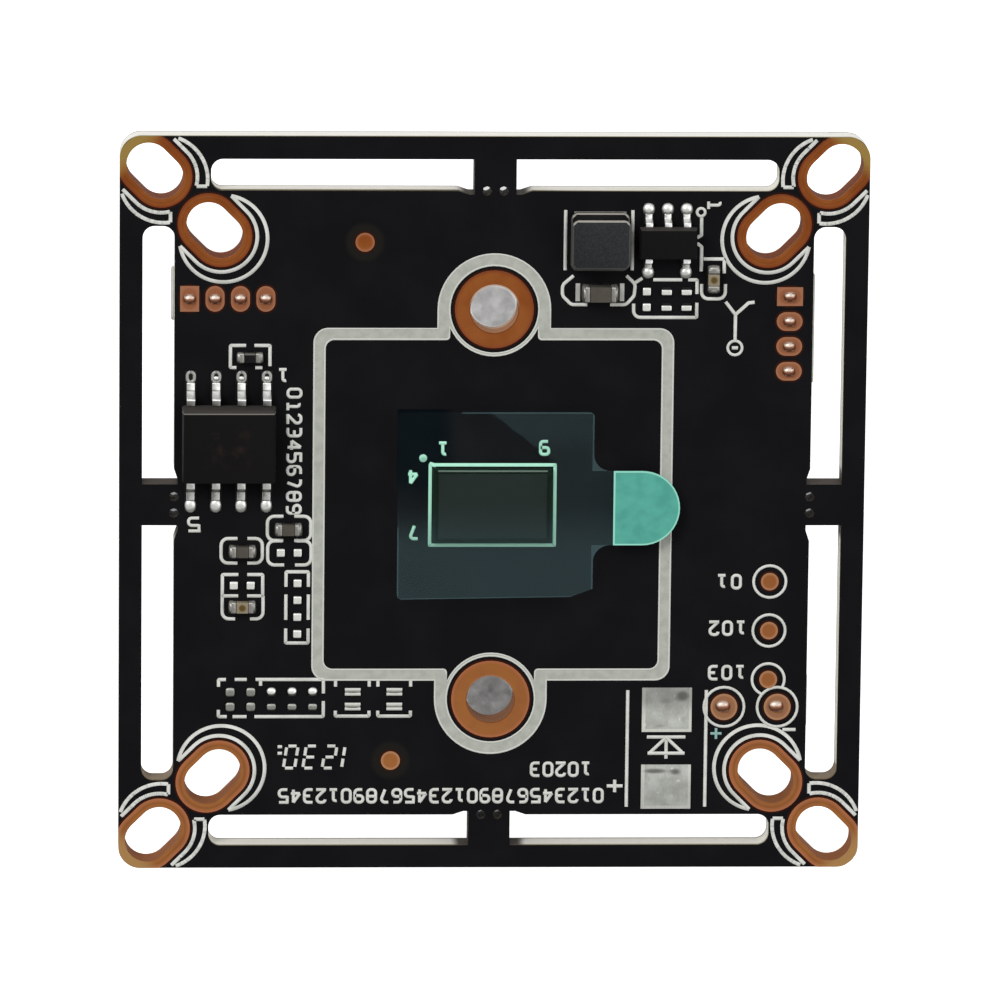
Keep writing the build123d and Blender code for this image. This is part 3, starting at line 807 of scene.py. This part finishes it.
# Image sensor under its film
# The sensor is a silicon die on a small board with a coated cover glass, and the film that keeps
# dust off lies on the glass. Ink under the film looks green.
veiled = Finish("Ink_under_film")
veil = veiled.noise(3.0, 3.0)
veiled_tone = veiled.mix(veil, rgb(196, 252, 228), rgb(168, 244, 212))
veiled_material = veiled.surface(veiled_tone, 0.5)
dress("sensor_outline", veiled_material)
corner_digits = {"1": (-2.5, 2.85), "9": (2.6, 2.93), "4": (-4.0, 1.45), "7": (-3.95, -1.4)}
pin_marks = [stroke for digit, at in corner_digits.items() for stroke in numbered(digit, at, 180)]
printed("sensor_numbers", pin_marks, 0.14, 0.16, veiled_material, 0.001)
frame_x, frame_y = [side - 0.07 for side in piece_box("sensor_outline")[1][:2]]
sensor_frame = [(-frame_x, -frame_y), (frame_x, -frame_y), (frame_x, frame_y), (-frame_x, frame_y)]
sensor_frame += sensor_frame[:1]
printed("sensor_frame", [sensor_frame], 0.04, 0.17, veiled_material, 0.004)
first_pin = [arc((-3.5, 2.4), 0.1, steps=12), [(-3.18, 2.12), (-2.85, 2.02)]]
printed("first_pin_marks", first_pin, width=0.2, material=veiled_material, lift=0.0015)

silicon = Finish("Silicon")
across, along = silicon.parts(silicon.place)[:2]
window = (abs(across) < 2.72) * (abs(along) < 1.66)
glint = along.between(1.76, 1.84) * (abs(across) < 2.75)
silicon_tone = silicon.layered(
    rgb(6, 26, 12),
    (window, rgb(42, 51, 48)),
    (glint, rgb(120, 140, 128)),
    (silicon.noise(24.0, 1.0) * 0.25, rgb(46, 54, 51)),
)
dress("sensor_package", silicon.surface(silicon_tone, 0.5, 0.06))
dress("sensor_glass", Finish("Cover_glass").surface(rgb(20, 26, 22), 0.12, 0.03, Alpha=0.1))

# The film is painted lighter, as a reflection of the light, most where it touches what is below it,
# and it is nearly clear at its upper left, where it reflects nothing
film = Finish("Tinted_film")
across, along = film.parts(film.place)[:2]
cloud = film.noise(0.6, 3.0)
below = along.over(0.4, -2.4)
above = (across * 0.77 + along + cloud * 0.3).over(4.8, 5.0)
beside = (across.over(2.6, 3.4) + above).over(0.0, 1.0)
painted_reflection = 0.01 + 0.56 * below + (1.0 - below) * beside * 0.21
painted_reflection = painted_reflection + 0.14 * above * along.over(2.6, 4.2) + 0.08 * cloud
film_edge = (across < -4.73) * (along < -1.0) + (across > 4.97) * (abs(along) > 1.9)
film_edge = film_edge + (along - across * 0.016 < -4.58) + (along > 4.82) * (across > -1.6)
veiling = 0.2 * painted_reflection + 0.2 * film_edge.over(0.2, 0.9)
dress("protective_film", film.surface(rgb(86, 112, 116), 0.3, 0.02, Alpha=veiling))

mint = Finish("Mint_tab")
across, along = mint.parts(mint.place)[:2]
tab_rim = length(beyond(across - 7.5), along).over(1.78, 1.86) + (across < 6.14)
mint_tone = mint.mix(mint.noise(1.2, 3.0).over(0.3, 0.7), rgb(92, 176, 159), rgb(80, 160, 146))
mint_tone = mint.mix(tab_rim.over(0.2, 0.9), mint_tone, rgb(152, 222, 202))
dress("pull_tab", mint.surface(mint_tone, 0.4, 0.09))

# Tinned pads
# Copper pads dipped in molten tin. Those without a part keep a thin cushion of solder that is
# highest in the middle.
lamp_aside, lamp_along, lamp_up = -0.12, 0.85, 0.58
shoulder_level, slope_level = 6.8, 6.15
shoulder_from, shoulder_to = 3.3, 5.5
fold_from, fold_to = 5.83, 5.93


def tin(name, bright, middling, dark, roughness=0.26, bent=False):
    """Solder or tin, bright on faces turned to the lamp and dark on the steep ones beside.

    On bent leads the shoulders beside the chip are in its shade, and so is the fold below.
    """
    finish = Finish(name)
    across, along, height = finish.parts(finish.normal())
    toward = along * lamp_along + height * lamp_up + across * lamp_aside
    wrinkle = finish.noise(5.0, 3.0)
    shown = toward.over(-0.05, 0.95) + wrinkle * 0.3 - 0.15
    tone = finish.mix(shown.over(0.25, 0.6), dark, middling)
    tone = finish.mix(shown.over(0.68, 0.92), tone, bright)
    if bent:
        along, level = finish.parts(finish.place)[1:]
        shade = (level > shoulder_level) * along.between(shoulder_from, shoulder_to) * 0.75
        shade = shade + along.between(fold_from, fold_to) * 0.6
        # The slopes past the shoulders are painted bright, as a highlight
        tone = finish.mix((level > slope_level) * (along > shoulder_to), tone, bright)
        tone = finish.mix(shade, tone, dark)
    bump = finish.bump(wrinkle, 0.25, 0.03)
    return finish.surface(tone, roughness + 0.15 * wrinkle, Metallic=0.6, Normal=bump)


solder_material = tin("Solder", rgb(238, 238, 235), rgb(168, 168, 164), rgb(44, 44, 44))
dress("inductor_terminals", solder_material)

# Large pads are flat, paler along their rims and darker at their outer ends, and show smudges and specks
pad_tin = Finish("Pad_tin")
across, along = pad_tin.parts(pad_tin.place)[:2]
cloud = pad_tin.noise(1.4, 4.0, 0.55)
specks = pad_tin.noise(3.4, 2.0)
rim = (across < 7.86) + (across > 10.06) + (along < -15.54) + along.between(-11.8, -11.56)
streaks = pad_tin.noise(5.0, stretch=(6.0, 0.7, 1.0))
darker_pad_ends = along.over(-10.9, -10.0) * 0.5 + along.over(-13.6, -14.8) * 0.26
smudges = [
    (9.7, -9.85, 0.42, 0.3, 1.0),
    (8.35, -13.74, 0.75, 0.15, 1.0),
    (9.42, -13.78, 0.32, 0.2, 1.0),
    (8.9, -10.1, 0.5, 0.22, 0.5),
    (8.6, -11.4, 0.4, 0.12, 0.5),
]
stain = 0.0
for x, y, reach_x, reach_y, share in smudges:
    spread = length((across - x) * (1 / reach_x), (along - y) * (1 / reach_y)) + cloud * 0.9
    stain = stain + spread.over(1.9, 0.6) * share
tone = pad_tin.layered(
    rgb(196, 198, 192),
    (cloud.over(0.3, 0.7), rgb(168, 170, 163)),
    (specks.over(0.66, 0.74) * 0.6, rgb(238, 238, 230)),
    (rim.over(0.2, 0.9) * 0.7, rgb(216, 216, 208)),
    (streaks.over(0.5, 0.75) * 0.3, rgb(128, 128, 122)),
    (darker_pad_ends, rgb(96, 96, 92)),
    (stain.over(0.1, 1.1) * 0.8, rgb(70, 70, 66)),
)
dress("diode_pads", pad_tin.surface(tone, 0.5, 0.15, Metallic=0.1))

# Small pads are painted near black, as shade, so that the solder on them stands out, but for the wide
# ones
shaded_tin = Finish("Dull_tin")
across, along = shaded_tin.parts(shaded_tin.place)[:2]
wide_pads = abs(across - 5.28).between(1.0, 1.3) * (abs(along - 10.9) < 0.6)
wide_pads = wide_pads + (abs(across - 5.25) < 1.4) * (along > 11.8)
shaded_tin_tone = shaded_tin.mix(wide_pads, rgb(30, 30, 30), rgb(188, 188, 182))
shaded_tin_material = shaded_tin.surface(shaded_tin_tone, 0.5, 0.06, Metallic=0.15)
dress("part_pads", shaded_tin_material)
dress("spare_pads", shaded_tin_material)

# Drops of solder are softened blocks on the points of a mesh, sized by an attribute
blocks = Growth("Solder_drops", Source="Object", Crease="Float", Material="Material")
places = blocks.node("GeometryNodeObjectInfo", {}, {"Object": blocks.given("Source")}, "Geometry")
block = blocks.node("GeometryNodeMeshCube", {}, {"Size": (1.0, 1.0, 1.0)})
sockets = {"Mesh": block, "Edge Crease": blocks.given("Crease"), "Level": 3}
block = blocks.node("GeometryNodeSubdivisionSurface", {}, sockets)
block = blocks.node("GeometryNodeSetShadeSmooth", {}, {"Geometry": block})
settings = {"data_type": "FLOAT_VECTOR"}
size = blocks.node("GeometryNodeInputNamedAttribute", settings, {"Name": "drop_size"})
sockets = {"Points": places, "Instance": block, "Scale": size}
blocks.close(blocks.node("GeometryNodeInstanceOnPoints", {}, sockets))


def drops(name, places, crease, material, material_slot):
    """Softened blocks in millimetres: each place is x, y, z of its middle and its three sizes."""
    mesh = bpy.data.meshes.new(name)
    mesh.from_pydata([[value * MM for value in place[:3]] for place in places], [], [])
    sizes = mesh.attributes.new("drop_size", "FLOAT_VECTOR", "POINT")
    for index, place in enumerate(places):
        sizes.data[index].vector = [value * MM for value in place[3:]]
    return blocks.grow(name, mesh, material, material_slot, Crease=crease)


def middle_of(low, high):
    """X and Y of a box's middle."""
    return [(low[k] + high[k]) / 2 for k in range(2)]


# On most pads the solder stands up as a bright drop; on the left block it has mostly wetted out
dim_material = tin("Dim_solder", rgb(176, 176, 170), rgb(126, 126, 120), rgb(46, 46, 45), 0.35)
drop_material = tin("Drop_solder", rgb(246, 246, 242), rgb(216, 216, 210), rgb(70, 70, 68))
cushion_share = 1.08
block_top = -9.0
block_middle = -10.2
block_left = -12.0
upper_block_x, upper_block_y = 7.9, 9.5
bright_drops, domes, dim_drops, wide_rims = [], [], [], []
for low, high in solid_boxes("spare_pads"):
    x, y = middle_of(low, high)
    top = high[2]
    wide, deep = high[0] - low[0], high[1] - low[1]
    if wide > 0.7:
        dim_drops.append((x, y, top, wide * 0.94, deep * 0.5, 0.1))
        ends = (low[0] + 0.03, high[0] - 0.03)
        wide_rims += [[(end, y + side) for end in ends] for side in (-0.12, 0.12)]
    elif y < block_top and (y < block_middle or x < block_left):
        flat = 0.72 if x > block_left else 1.0
        dim_drops.append((x, y, top, wide * cushion_share, deep * cushion_share * flat, 0.16))
    elif y < block_top:
        domes.append((x, y + 0.03, top, wide * 1.3, deep * 1.2, 0.34))
    elif y > upper_block_y and x > upper_block_x:
        bright_drops.append((x, y - 0.04, top, wide * 1.2, deep * 0.64, 0.26))
    else:
        bright_drops.append((x, y, top, wide * 0.95, deep * 0.95, 0.26))
drops("solder_cushions", bright_drops, 0.45, drop_material, "tin")
drops("solder_domes", domes, 0.1, drop_material, "tin")
drops("thin_solder", dim_drops, 0.3, dim_material, "tin")
wide_rim_material = Finish("Rim_tin").surface(rgb(210, 210, 204), 0.4, Metallic=0.15)
printed("wide_pad_rims", wide_rims, 0.06, 0.15, wide_rim_material, copper + 0.01, "tin")

# Pins and their pads
# Square tinned pins come up through the pads from the sockets behind, with a low cone of solder.
# Their tips are painted brown, as the shade below each joint's highlight.
pin_tin = Finish("Pin_tin")
tip = pin_tin.parts(pin_tin.place)[2] > board_top
pin_tone = pin_tin.mix(tip, rgb(206, 198, 190), rgb(112, 78, 58))
pin_material = pin_tin.surface(pin_tone, 0.3 + 0.3 * tip, Metallic=0.85 - 0.8 * tip)
joint_material = tin("Pin_joint", rgb(214, 196, 182), rgb(144, 94, 70), rgb(96, 54, 34), 0.34)
pin_joints = []
for socket in ("left_socket_pins", "right_socket_pins", "power_socket_pins"):
    dress(socket, pin_material)
    power = socket == "power_socket_pins"
    wide = 0.88 if power else 0.76
    for low, high in solid_boxes(socket):
        x, y = middle_of(low, high)
        if power:
            x, y = x - 0.06, y + 0.05
        pin_joints.append((x, y, copper_top, wide, wide * 0.8, 0.56))
drops("pin_joints", pin_joints, 0.0, joint_material, "copper")

# Chips
# Moulded epoxy bodies with a fine grain. Their tinned leads are bent down to the pads and
# soldered, with a fillet at each toe.
moulding = Finish("Chip_moulding")
sparkle = moulding.noise(22.0, 2.0)
upward = moulding.parts(moulding.normal())[1]
across, along = moulding.parts(moulding.place)[:2]
# Faces turned towards +Y, and a band along the memory chip's upper edge, are painted lighter, as lit
# faces, with a painted highlight along the band's inner line
bevelled = along.between(4.92, 5.4) * (across < -10.0)
ridge = bevelled * (along < 4.98)
# The memory chip's top is faintly rubbed in its middle
rubbed = abs(across + 13.4).over(1.5, 0.7) * abs(along - 3.3).over(1.4, 0.6)
rubbed = rubbed * moulding.noise(1.8, 4.0).over(0.45, 0.8)
moulding_tone = moulding.layered(
    rgb(17, 16, 16),
    (sparkle.over(0.3, 0.7), rgb(21, 20, 20)),
    (rubbed * 0.7, rgb(44, 34, 30)),
    ((upward.over(0.35, 0.8) + bevelled).over(0.0, 1.0), rgb(63, 60, 58)),
    (ridge, rgb(124, 121, 115)),
)
rough = 0.55 + 0.2 * sparkle
sandy = moulding.bump(sparkle, 0.3, 0.015)
moulding_material = moulding.surface(moulding_tone, rough, 0.045, Normal=sandy)


def softened(name, width, material, material_slot, segments=2):
    """A copy of a CAD piece with its faces joined and its edges rounded, which stands for it."""
    work = merged(name)
    flat = math.radians(1)
    bmesh.ops.dissolve_limit(work, angle_limit=flat, verts=work.verts, edges=work.edges)
    mesh = bpy.data.meshes.new(name + "_soft")
    work.to_mesh(mesh)
    work.free()
    mesh.shade_smooth()
    piece = as_piece(name + "_soft", mesh, material)
    edge = piece.modifiers.new("Edges", "BEVEL")
    edge.width = width * MM
    edge.segments = segments
    edge.limit_method = "ANGLE"
    edge.angle_limit = math.radians(30)
    edge.harden_normals = True
    return settle(piece, material_slot, name)


for name in ("memory_chip", "converter_chip", "regulator_chip"):
    softened(name, 0.05, moulding_material, "moulding")

lead_tones = (rgb(250, 250, 248), rgb(186, 186, 182), rgb(88, 88, 86))
lead_material = tin("Lead_tin", *lead_tones, bent=True)
for name in ("memory_leads", "converter_leads"):
    softened(name, 0.035, lead_material, "tin")
back_tin = Finish("Back_tin")
wrinkle = back_tin.noise(5.0, 3.0)
back_tone = back_tin.mix(wrinkle.over(0.3, 0.7), rgb(196, 196, 190), rgb(160, 160, 155))
back_tin_material = back_tin.surface(back_tone, 0.3 + 0.15 * wrinkle, Metallic=0.6)
softened("regulator_leads", 0.035, back_tin_material, "tin")

# The memory chip's upper toes leave a rim of solder on their pads, some of them filled
toe_material = tin("Toe_solder", rgb(236, 236, 233), rgb(200, 200, 196), rgb(136, 136, 132))
toes = {"memory_leads": (0.3, (0.7, 0.86, 0.4)), "converter_leads": (0.2, (0.74, 0.76, 0.5))}
filled_from = -14.0
toe_blobs, toe_rims, toe_fillings = [], [], []
for name, (reach, size) in toes.items():
    middle_y = middle_of(*piece_box(name))[1]
    for low, high in solid_boxes(name):
        x, y = middle_of(low, high)
        outward = 1 if y > middle_y else -1
        toe = high[1] if outward > 0 else low[1]
        if name == "memory_leads" and outward > 0:
            left, right, near, far = x - 0.18, x + 0.18, toe + 0.03, toe + 0.53
            toe_rims.append([(left, near), (left, far), (right, far), (right, near), (left, near)])
            if x > filled_from:
                toe_fillings.append((x, toe + 0.2, copper_top + 0.02, 0.34, 0.3, 0.2))
        else:
            toe_blobs.append((x, toe + outward * reach, copper_top, *size))
drops("toe_blobs", toe_blobs, 0.0, toe_material, "tin")
drops("toe_fillings", toe_fillings, 0.0, toe_material, "tin")
toe_rim_material = Finish("Toe_rim_tin").surface(rgb(158, 158, 154), 0.4, Metallic=0.3)
printed("toe_rims", toe_rims, 0.2, 0.15, toe_rim_material, copper, "tin")

# Inductor
# A drum of pressed ferrite with a wide flange above and below, wound with enamelled wire round
# its post. Its ends are soldered to two pads.
flange_level = 6.9
ferrite = Finish("Ferrite")
pits = ferrite.noise(12.0, 3.0)
upward, facing = ferrite.parts(ferrite.normal("True Normal"))[1:]
height = ferrite.parts(ferrite.place)[2]
# The bevelled edges are painted as highlights, brighter where they face +Y. Below the upper flange the
# faces are painted near black, and the steep and downward faces dark, as shade.
edge_highlight = facing.between(0.2, 0.97)
ferrite_tone = ferrite.layered(
    rgb(38, 39, 41),
    (pits.over(0.35, 0.65), rgb(48, 50, 52)),
    ((height < flange_level) * (1.0 - edge_highlight), rgb(10, 9, 9)),
    (facing < 0.2, rgb(20, 20, 21)),
    (edge_highlight, ferrite.mix(upward.over(0.2, 0.5), rgb(82, 81, 78), rgb(164, 160, 152))),
)
pitted = ferrite.bump(pits, 0.4, 0.02)
ferrite_material = ferrite.surface(ferrite_tone, 0.5, 0.07, Normal=pitted)
softened("inductor_drum", 0.09, ferrite_material, "ferrite", 1)
wire = Finish("Enamelled_wire")
turns = wire.math("SINE", wire.parts(wire.place)[2] * 57.0)
wound = wire.bump(turns, 0.8, 0.05)
dress("inductor_winding", wire.surface(rgb(74, 40, 26), 0.4, Metallic=0.3, Normal=wound))

# Chip capacitors and the resistor
# Fired ceramic blocks with tinned ends, soldered to their pads. The resistor has a black glaze,
# and the tan capacitors are darker in their hearts.
grey = Finish("Grey_ceramic")
grey_tone = grey.mix(grey.noise(6.0, 3.0), rgb(88, 84, 76), rgb(72, 68, 62))
grey_material = grey.surface(grey_tone, 0.45, 0.08)
tan = Finish("Tan_ceramic")
across, along, height = tan.parts(tan.place)
heart = 0.0
for low, high in solid_boxes("tan_capacitor_bodies"):
    x, y = middle_of(low, high)
    heart = heart + length(across - x, along - y).over(0.26, 0.08)
tan_tone = tan.mix(tan.noise(6.0, 3.0), rgb(154, 145, 124), rgb(130, 118, 97))
tan_tone = tan.mix(heart.over(0.0, 1.0) * (height > board_top), tan_tone, rgb(92, 74, 34))
tan_material = tan.surface(tan_tone, 0.45, 0.08)
glaze = Finish("Resistor_glaze")
far_edge = piece_box("resistor_body")[1].y - 0.07
glint = (glaze.parts(glaze.place)[1] > far_edge) * 0.9
glaze_tone = glaze.mix(glint, rgb(20, 20, 20), rgb(112, 110, 106))
glaze_material = glaze.surface(glaze_tone, 0.4, 0.08)
softened("capacitor_bodies", 0.03, grey_material, "grey_ceramic")
for name in ("tan_capacitor_bodies", "back_capacitor_bodies"):
    softened(name, 0.03, tan_material, "tan_ceramic")
softened("resistor_body", 0.02, glaze_material, "resistor")

# Solder climbs the outer side of each end
end_material = tin("End_tin", rgb(168, 166, 160), rgb(130, 128, 123), rgb(78, 76, 72), 0.35)
end_fillets = []
for name in ("capacitor_ends", "resistor_ends"):
    ends = solid_boxes(name)
    middles = [middle_of(*end) for end in ends]
    for low, high in ends:
        x, y = middle_of(low, high)
        others = [other for other in middles if other != [x, y]]
        mate = min(others, key=lambda other: math.dist(other, (x, y)))
        span = math.dist(mate, (x, y))
        outward = ((x - mate[0]) / span, (y - mate[1]) / span)
        rise = high[2] - low[2]
        size_x, size_y = [
            0.36 if abs(outward[k]) > 0.5 else (high[k] - low[k]) * 1.12 for k in range(2)
        ]
        x, y = x + outward[0] * 0.1, y + outward[1] * 0.1
        end_fillets.append((x, y, low[2] + rise * 0.3, size_x, size_y, rise * 1.5))
drops("end_fillets", end_fillets, 0.25, end_material, "tin")
softened("capacitor_ends", 0.08, end_material, "tin", 3)
softened("back_capacitor_ends", 0.08, back_tin_material, "tin", 3)
softened("resistor_ends", 0.08, end_material, "tin", 3)

# Sockets behind the board
# Black moulded housings, each with a cavity for every pin. They stand on the board's back and
# are held by their soldered pins.
socket_names = ("left_socket", "right_socket", "power_socket")
socket_plastic = Finish("Socket_plastic")
socket_grain = socket_plastic.noise(10.0, 3.0)
socket_tone = socket_plastic.mix(socket_grain, rgb(26, 26, 27), rgb(33, 33, 34))
socket_material = socket_plastic.surface(socket_tone, 0.42 + 0.15 * socket_grain, 0.2)
for name in socket_names:
    softened(name, 0.06, socket_material, "socket_plastic")

# Image processor behind the board
# A square moulded package without legs. It is soldered by a row of contacts along each of its
# edges.
softened("processor", 0.06, moulding_material, "moulding")
chip_low, chip_high = piece_box("processor")
chip_x, chip_y = middle_of(chip_low, chip_high)
chip_half = (chip_high.x - chip_low.x) / 2
contact_pitch = 0.5
contact_count = int((2 * chip_half - 1.0) / contact_pitch)
contacts = []
for index in range(contact_count + 1):
    step = (index - contact_count / 2) * contact_pitch
    for side in (-chip_half, chip_half):
        contacts.append((chip_x + step, chip_y + side, board_bottom, 0.26, 0.62, 0.16))
        contacts.append((chip_x + side, chip_y + step, board_bottom, 0.62, 0.26, 0.16))
drops("processor_contacts", contacts, 0.6, back_tin_material, "tin")

# Printed marks behind the board
# The same ink as in front: corner angles round the chips, lines beside the small parts, a dot at
# the processor's first contact and a plain row of digits that reads from behind.
back_lift = -(board_thickness + print_depth + 2 * stroke_step)
angle_reach = 0.7
back_strokes = []
for name, margin in (("processor", 0.55), ("crystal_base", 0.35), ("regulator_leads", 0.35)):
    low, high = piece_box(name)
    for x, turn_x in ((low.x - margin, 1), (high.x + margin, -1)):
        for y, turn_y in ((low.y - margin, 1), (high.y + margin, -1)):
            across_end, along_end = x + turn_x * angle_reach, y + turn_y * angle_reach
            back_strokes.append([(across_end, y), (x, y), (x, along_end)])
for name in socket_names:
    low, high = piece_box(name)
    left, bottom, right, top = low.x - 0.2, low.y - 0.2, high.x + 0.2, high.y + 0.2
    socket_frame = [(left, bottom), (right, bottom), (right, top), (left, top), (left, bottom)]
    back_strokes.append(socket_frame)
back_ends = [middle_of(*end) for end in solid_boxes("back_capacitor_ends")]
for low, high in solid_boxes("back_capacitor_bodies"):
    x, y = middle_of(low, high)
    lies_across = any(abs(end[1] - y) < 0.1 and abs(end[0] - x) < 1.0 for end in back_ends)
    for side in (-0.6, 0.6):
        if lies_across:
            back_strokes.append([(x - 0.7, y + side), (x + 0.7, y + side)])
        else:
            back_strokes.append([(x + side, y - 0.7), (x + side, y + 0.7)])
back_strokes.append(arc((chip_low.x - 0.95, chip_high.y + 0.95), 0.1, steps=12))
back_strokes += numbered("0123456789", (-2.0, -13.2), 0, -0.68, -1.25)
printed("back_marks", back_strokes, lift=back_lift)

# Crystal behind the board
# A ceramic base, soldered to the board, with a plated steel lid that is welded on round its seam
# and brushed along its length.
dress("crystal_base", Finish("Crystal_base").surface(rgb(70, 66, 60), 0.5))
lid = Finish("Crystal_lid")
brushed = lid.noise(5.0, stretch=(2.0, 30.0, 30.0))
lid_material = lid.surface(rgb(196, 194, 188), 0.25 + 0.15 * brushed, Metallic=1.0)
softened("crystal_can", 0.05, lid_material, "can_metal")

# Floor, backdrop and light
# A plain white table under two large soft lamps, in a grey room. Rays that see or mirror the
# table and the room find them white.
ray_kinds = ("Is Camera Ray", "Is Glossy Ray", "Is Transmission Ray")


def seen_by(wiring):
    """Above 0 for the rays that see or mirror a surface, or pass through one before it."""
    camera_ray, mirrored, passed = [
        wiring.node("ShaderNodeLightPath", output=kind) for kind in ray_kinds
    ]
    return camera_ray + mirrored + passed


# Grey spots of painted shadow lie on the table where the lens holes and the break-off holes look down on
# it
lens_shade_spots = [(9.05, 1.34), (-11.17, 1.5)]
lens_shade_radius = 1.08
shade_spot_x = 0.26
tab_shade_spots = [
    (0.26, 15.12, 0.8, 0.35, 0.5),
    (0.26, -17.23, 0.8, 0.35, 0.03),
    (-15.91, -1.06, 0.35, 0.8, 0.14),
    (16.44, -1.06, 0.35, 0.8, 0.1),
]
table = Finish("Floor")
across, along = table.parts(table.place)[:2]
painted_shade_spots = 0.0
for shade_spot_y, reach in lens_shade_spots:
    off = length(across - shade_spot_x, (along - shade_spot_y) * 1.1)
    painted_shade_spots = painted_shade_spots + off.over(reach, lens_shade_radius)
ripple = table.noise(1.5, 3.0)
dim = 0.222 + 0.178 * along.over(-2.0, 6.0) + 0.34 * (ripple - 0.5)
under_board = abs(across).over(18.6, 18.0) * abs(along).over(18.6, 18.0)
bright = 0.72 + 0.28 * under_board
bright = bright + painted_shade_spots * (dim - bright)
for x, y, wide, deep, level in tab_shade_spots:
    on_shade_spot = abs(across - x).over(wide + 0.05, wide) * abs(along - y).over(deep + 0.05, deep)
    bright = bright + on_shade_spot * (level - bright)
share = seen_by(table).over(0.0, 0.5) * bright.over(0.0, 1.0)
glow = table.mix(share, (0.0, 0.0, 0.0, 1.0), (1.0, 1.0, 1.0, 1.0))
floor_tone = (0.8, 0.8, 0.8, 1.0)
floor_material = table.surface(floor_tone, 0.9, 0.0, Emission_Color=glow, Emission_Strength=1.0)
floor_mesh = bpy.data.meshes.new("Floor")
half = 3.0
hair = -0.00001
corners = [(-half, -half, hair), (half, -half, hair), (half, half, hair), (-half, half, hair)]
floor_mesh.from_pydata(corners, [], [(0, 1, 2, 3)])
floor = as_piece("Floor", floor_mesh, floor_material)

world = bpy.data.worlds.new("World")
scene.world = world
world.use_nodes = True
world.node_tree.nodes.clear()
room = Wiring(world.node_tree)
sockets = {"Value": seen_by(room), "To Min": 0.5, "To Max": 1.0}
strength = room.node("ShaderNodeMapRange", {}, sockets)
sky = room.node("ShaderNodeBackground", {}, {"Strength": strength})
room.node("ShaderNodeOutputWorld", {}, {"Surface": sky})

lamps = [
    ("Key", (-0.35, 0.45, 0.6), 0.35, 3.4),
    ("Fill", (0.5, 0.1, 0.55), 0.5, 1.6),
]
for name, place, size, power in lamps:
    light = bpy.data.lights.new(name, "AREA")
    light.size = size
    light.energy = power
    lamp = bpy.data.objects.new(name, light)
    scene.collection.objects.link(lamp)
    lamp.location = place
    lamp.rotation_euler = (-Vector(place)).to_track_quat("-Z", "Y").to_euler()
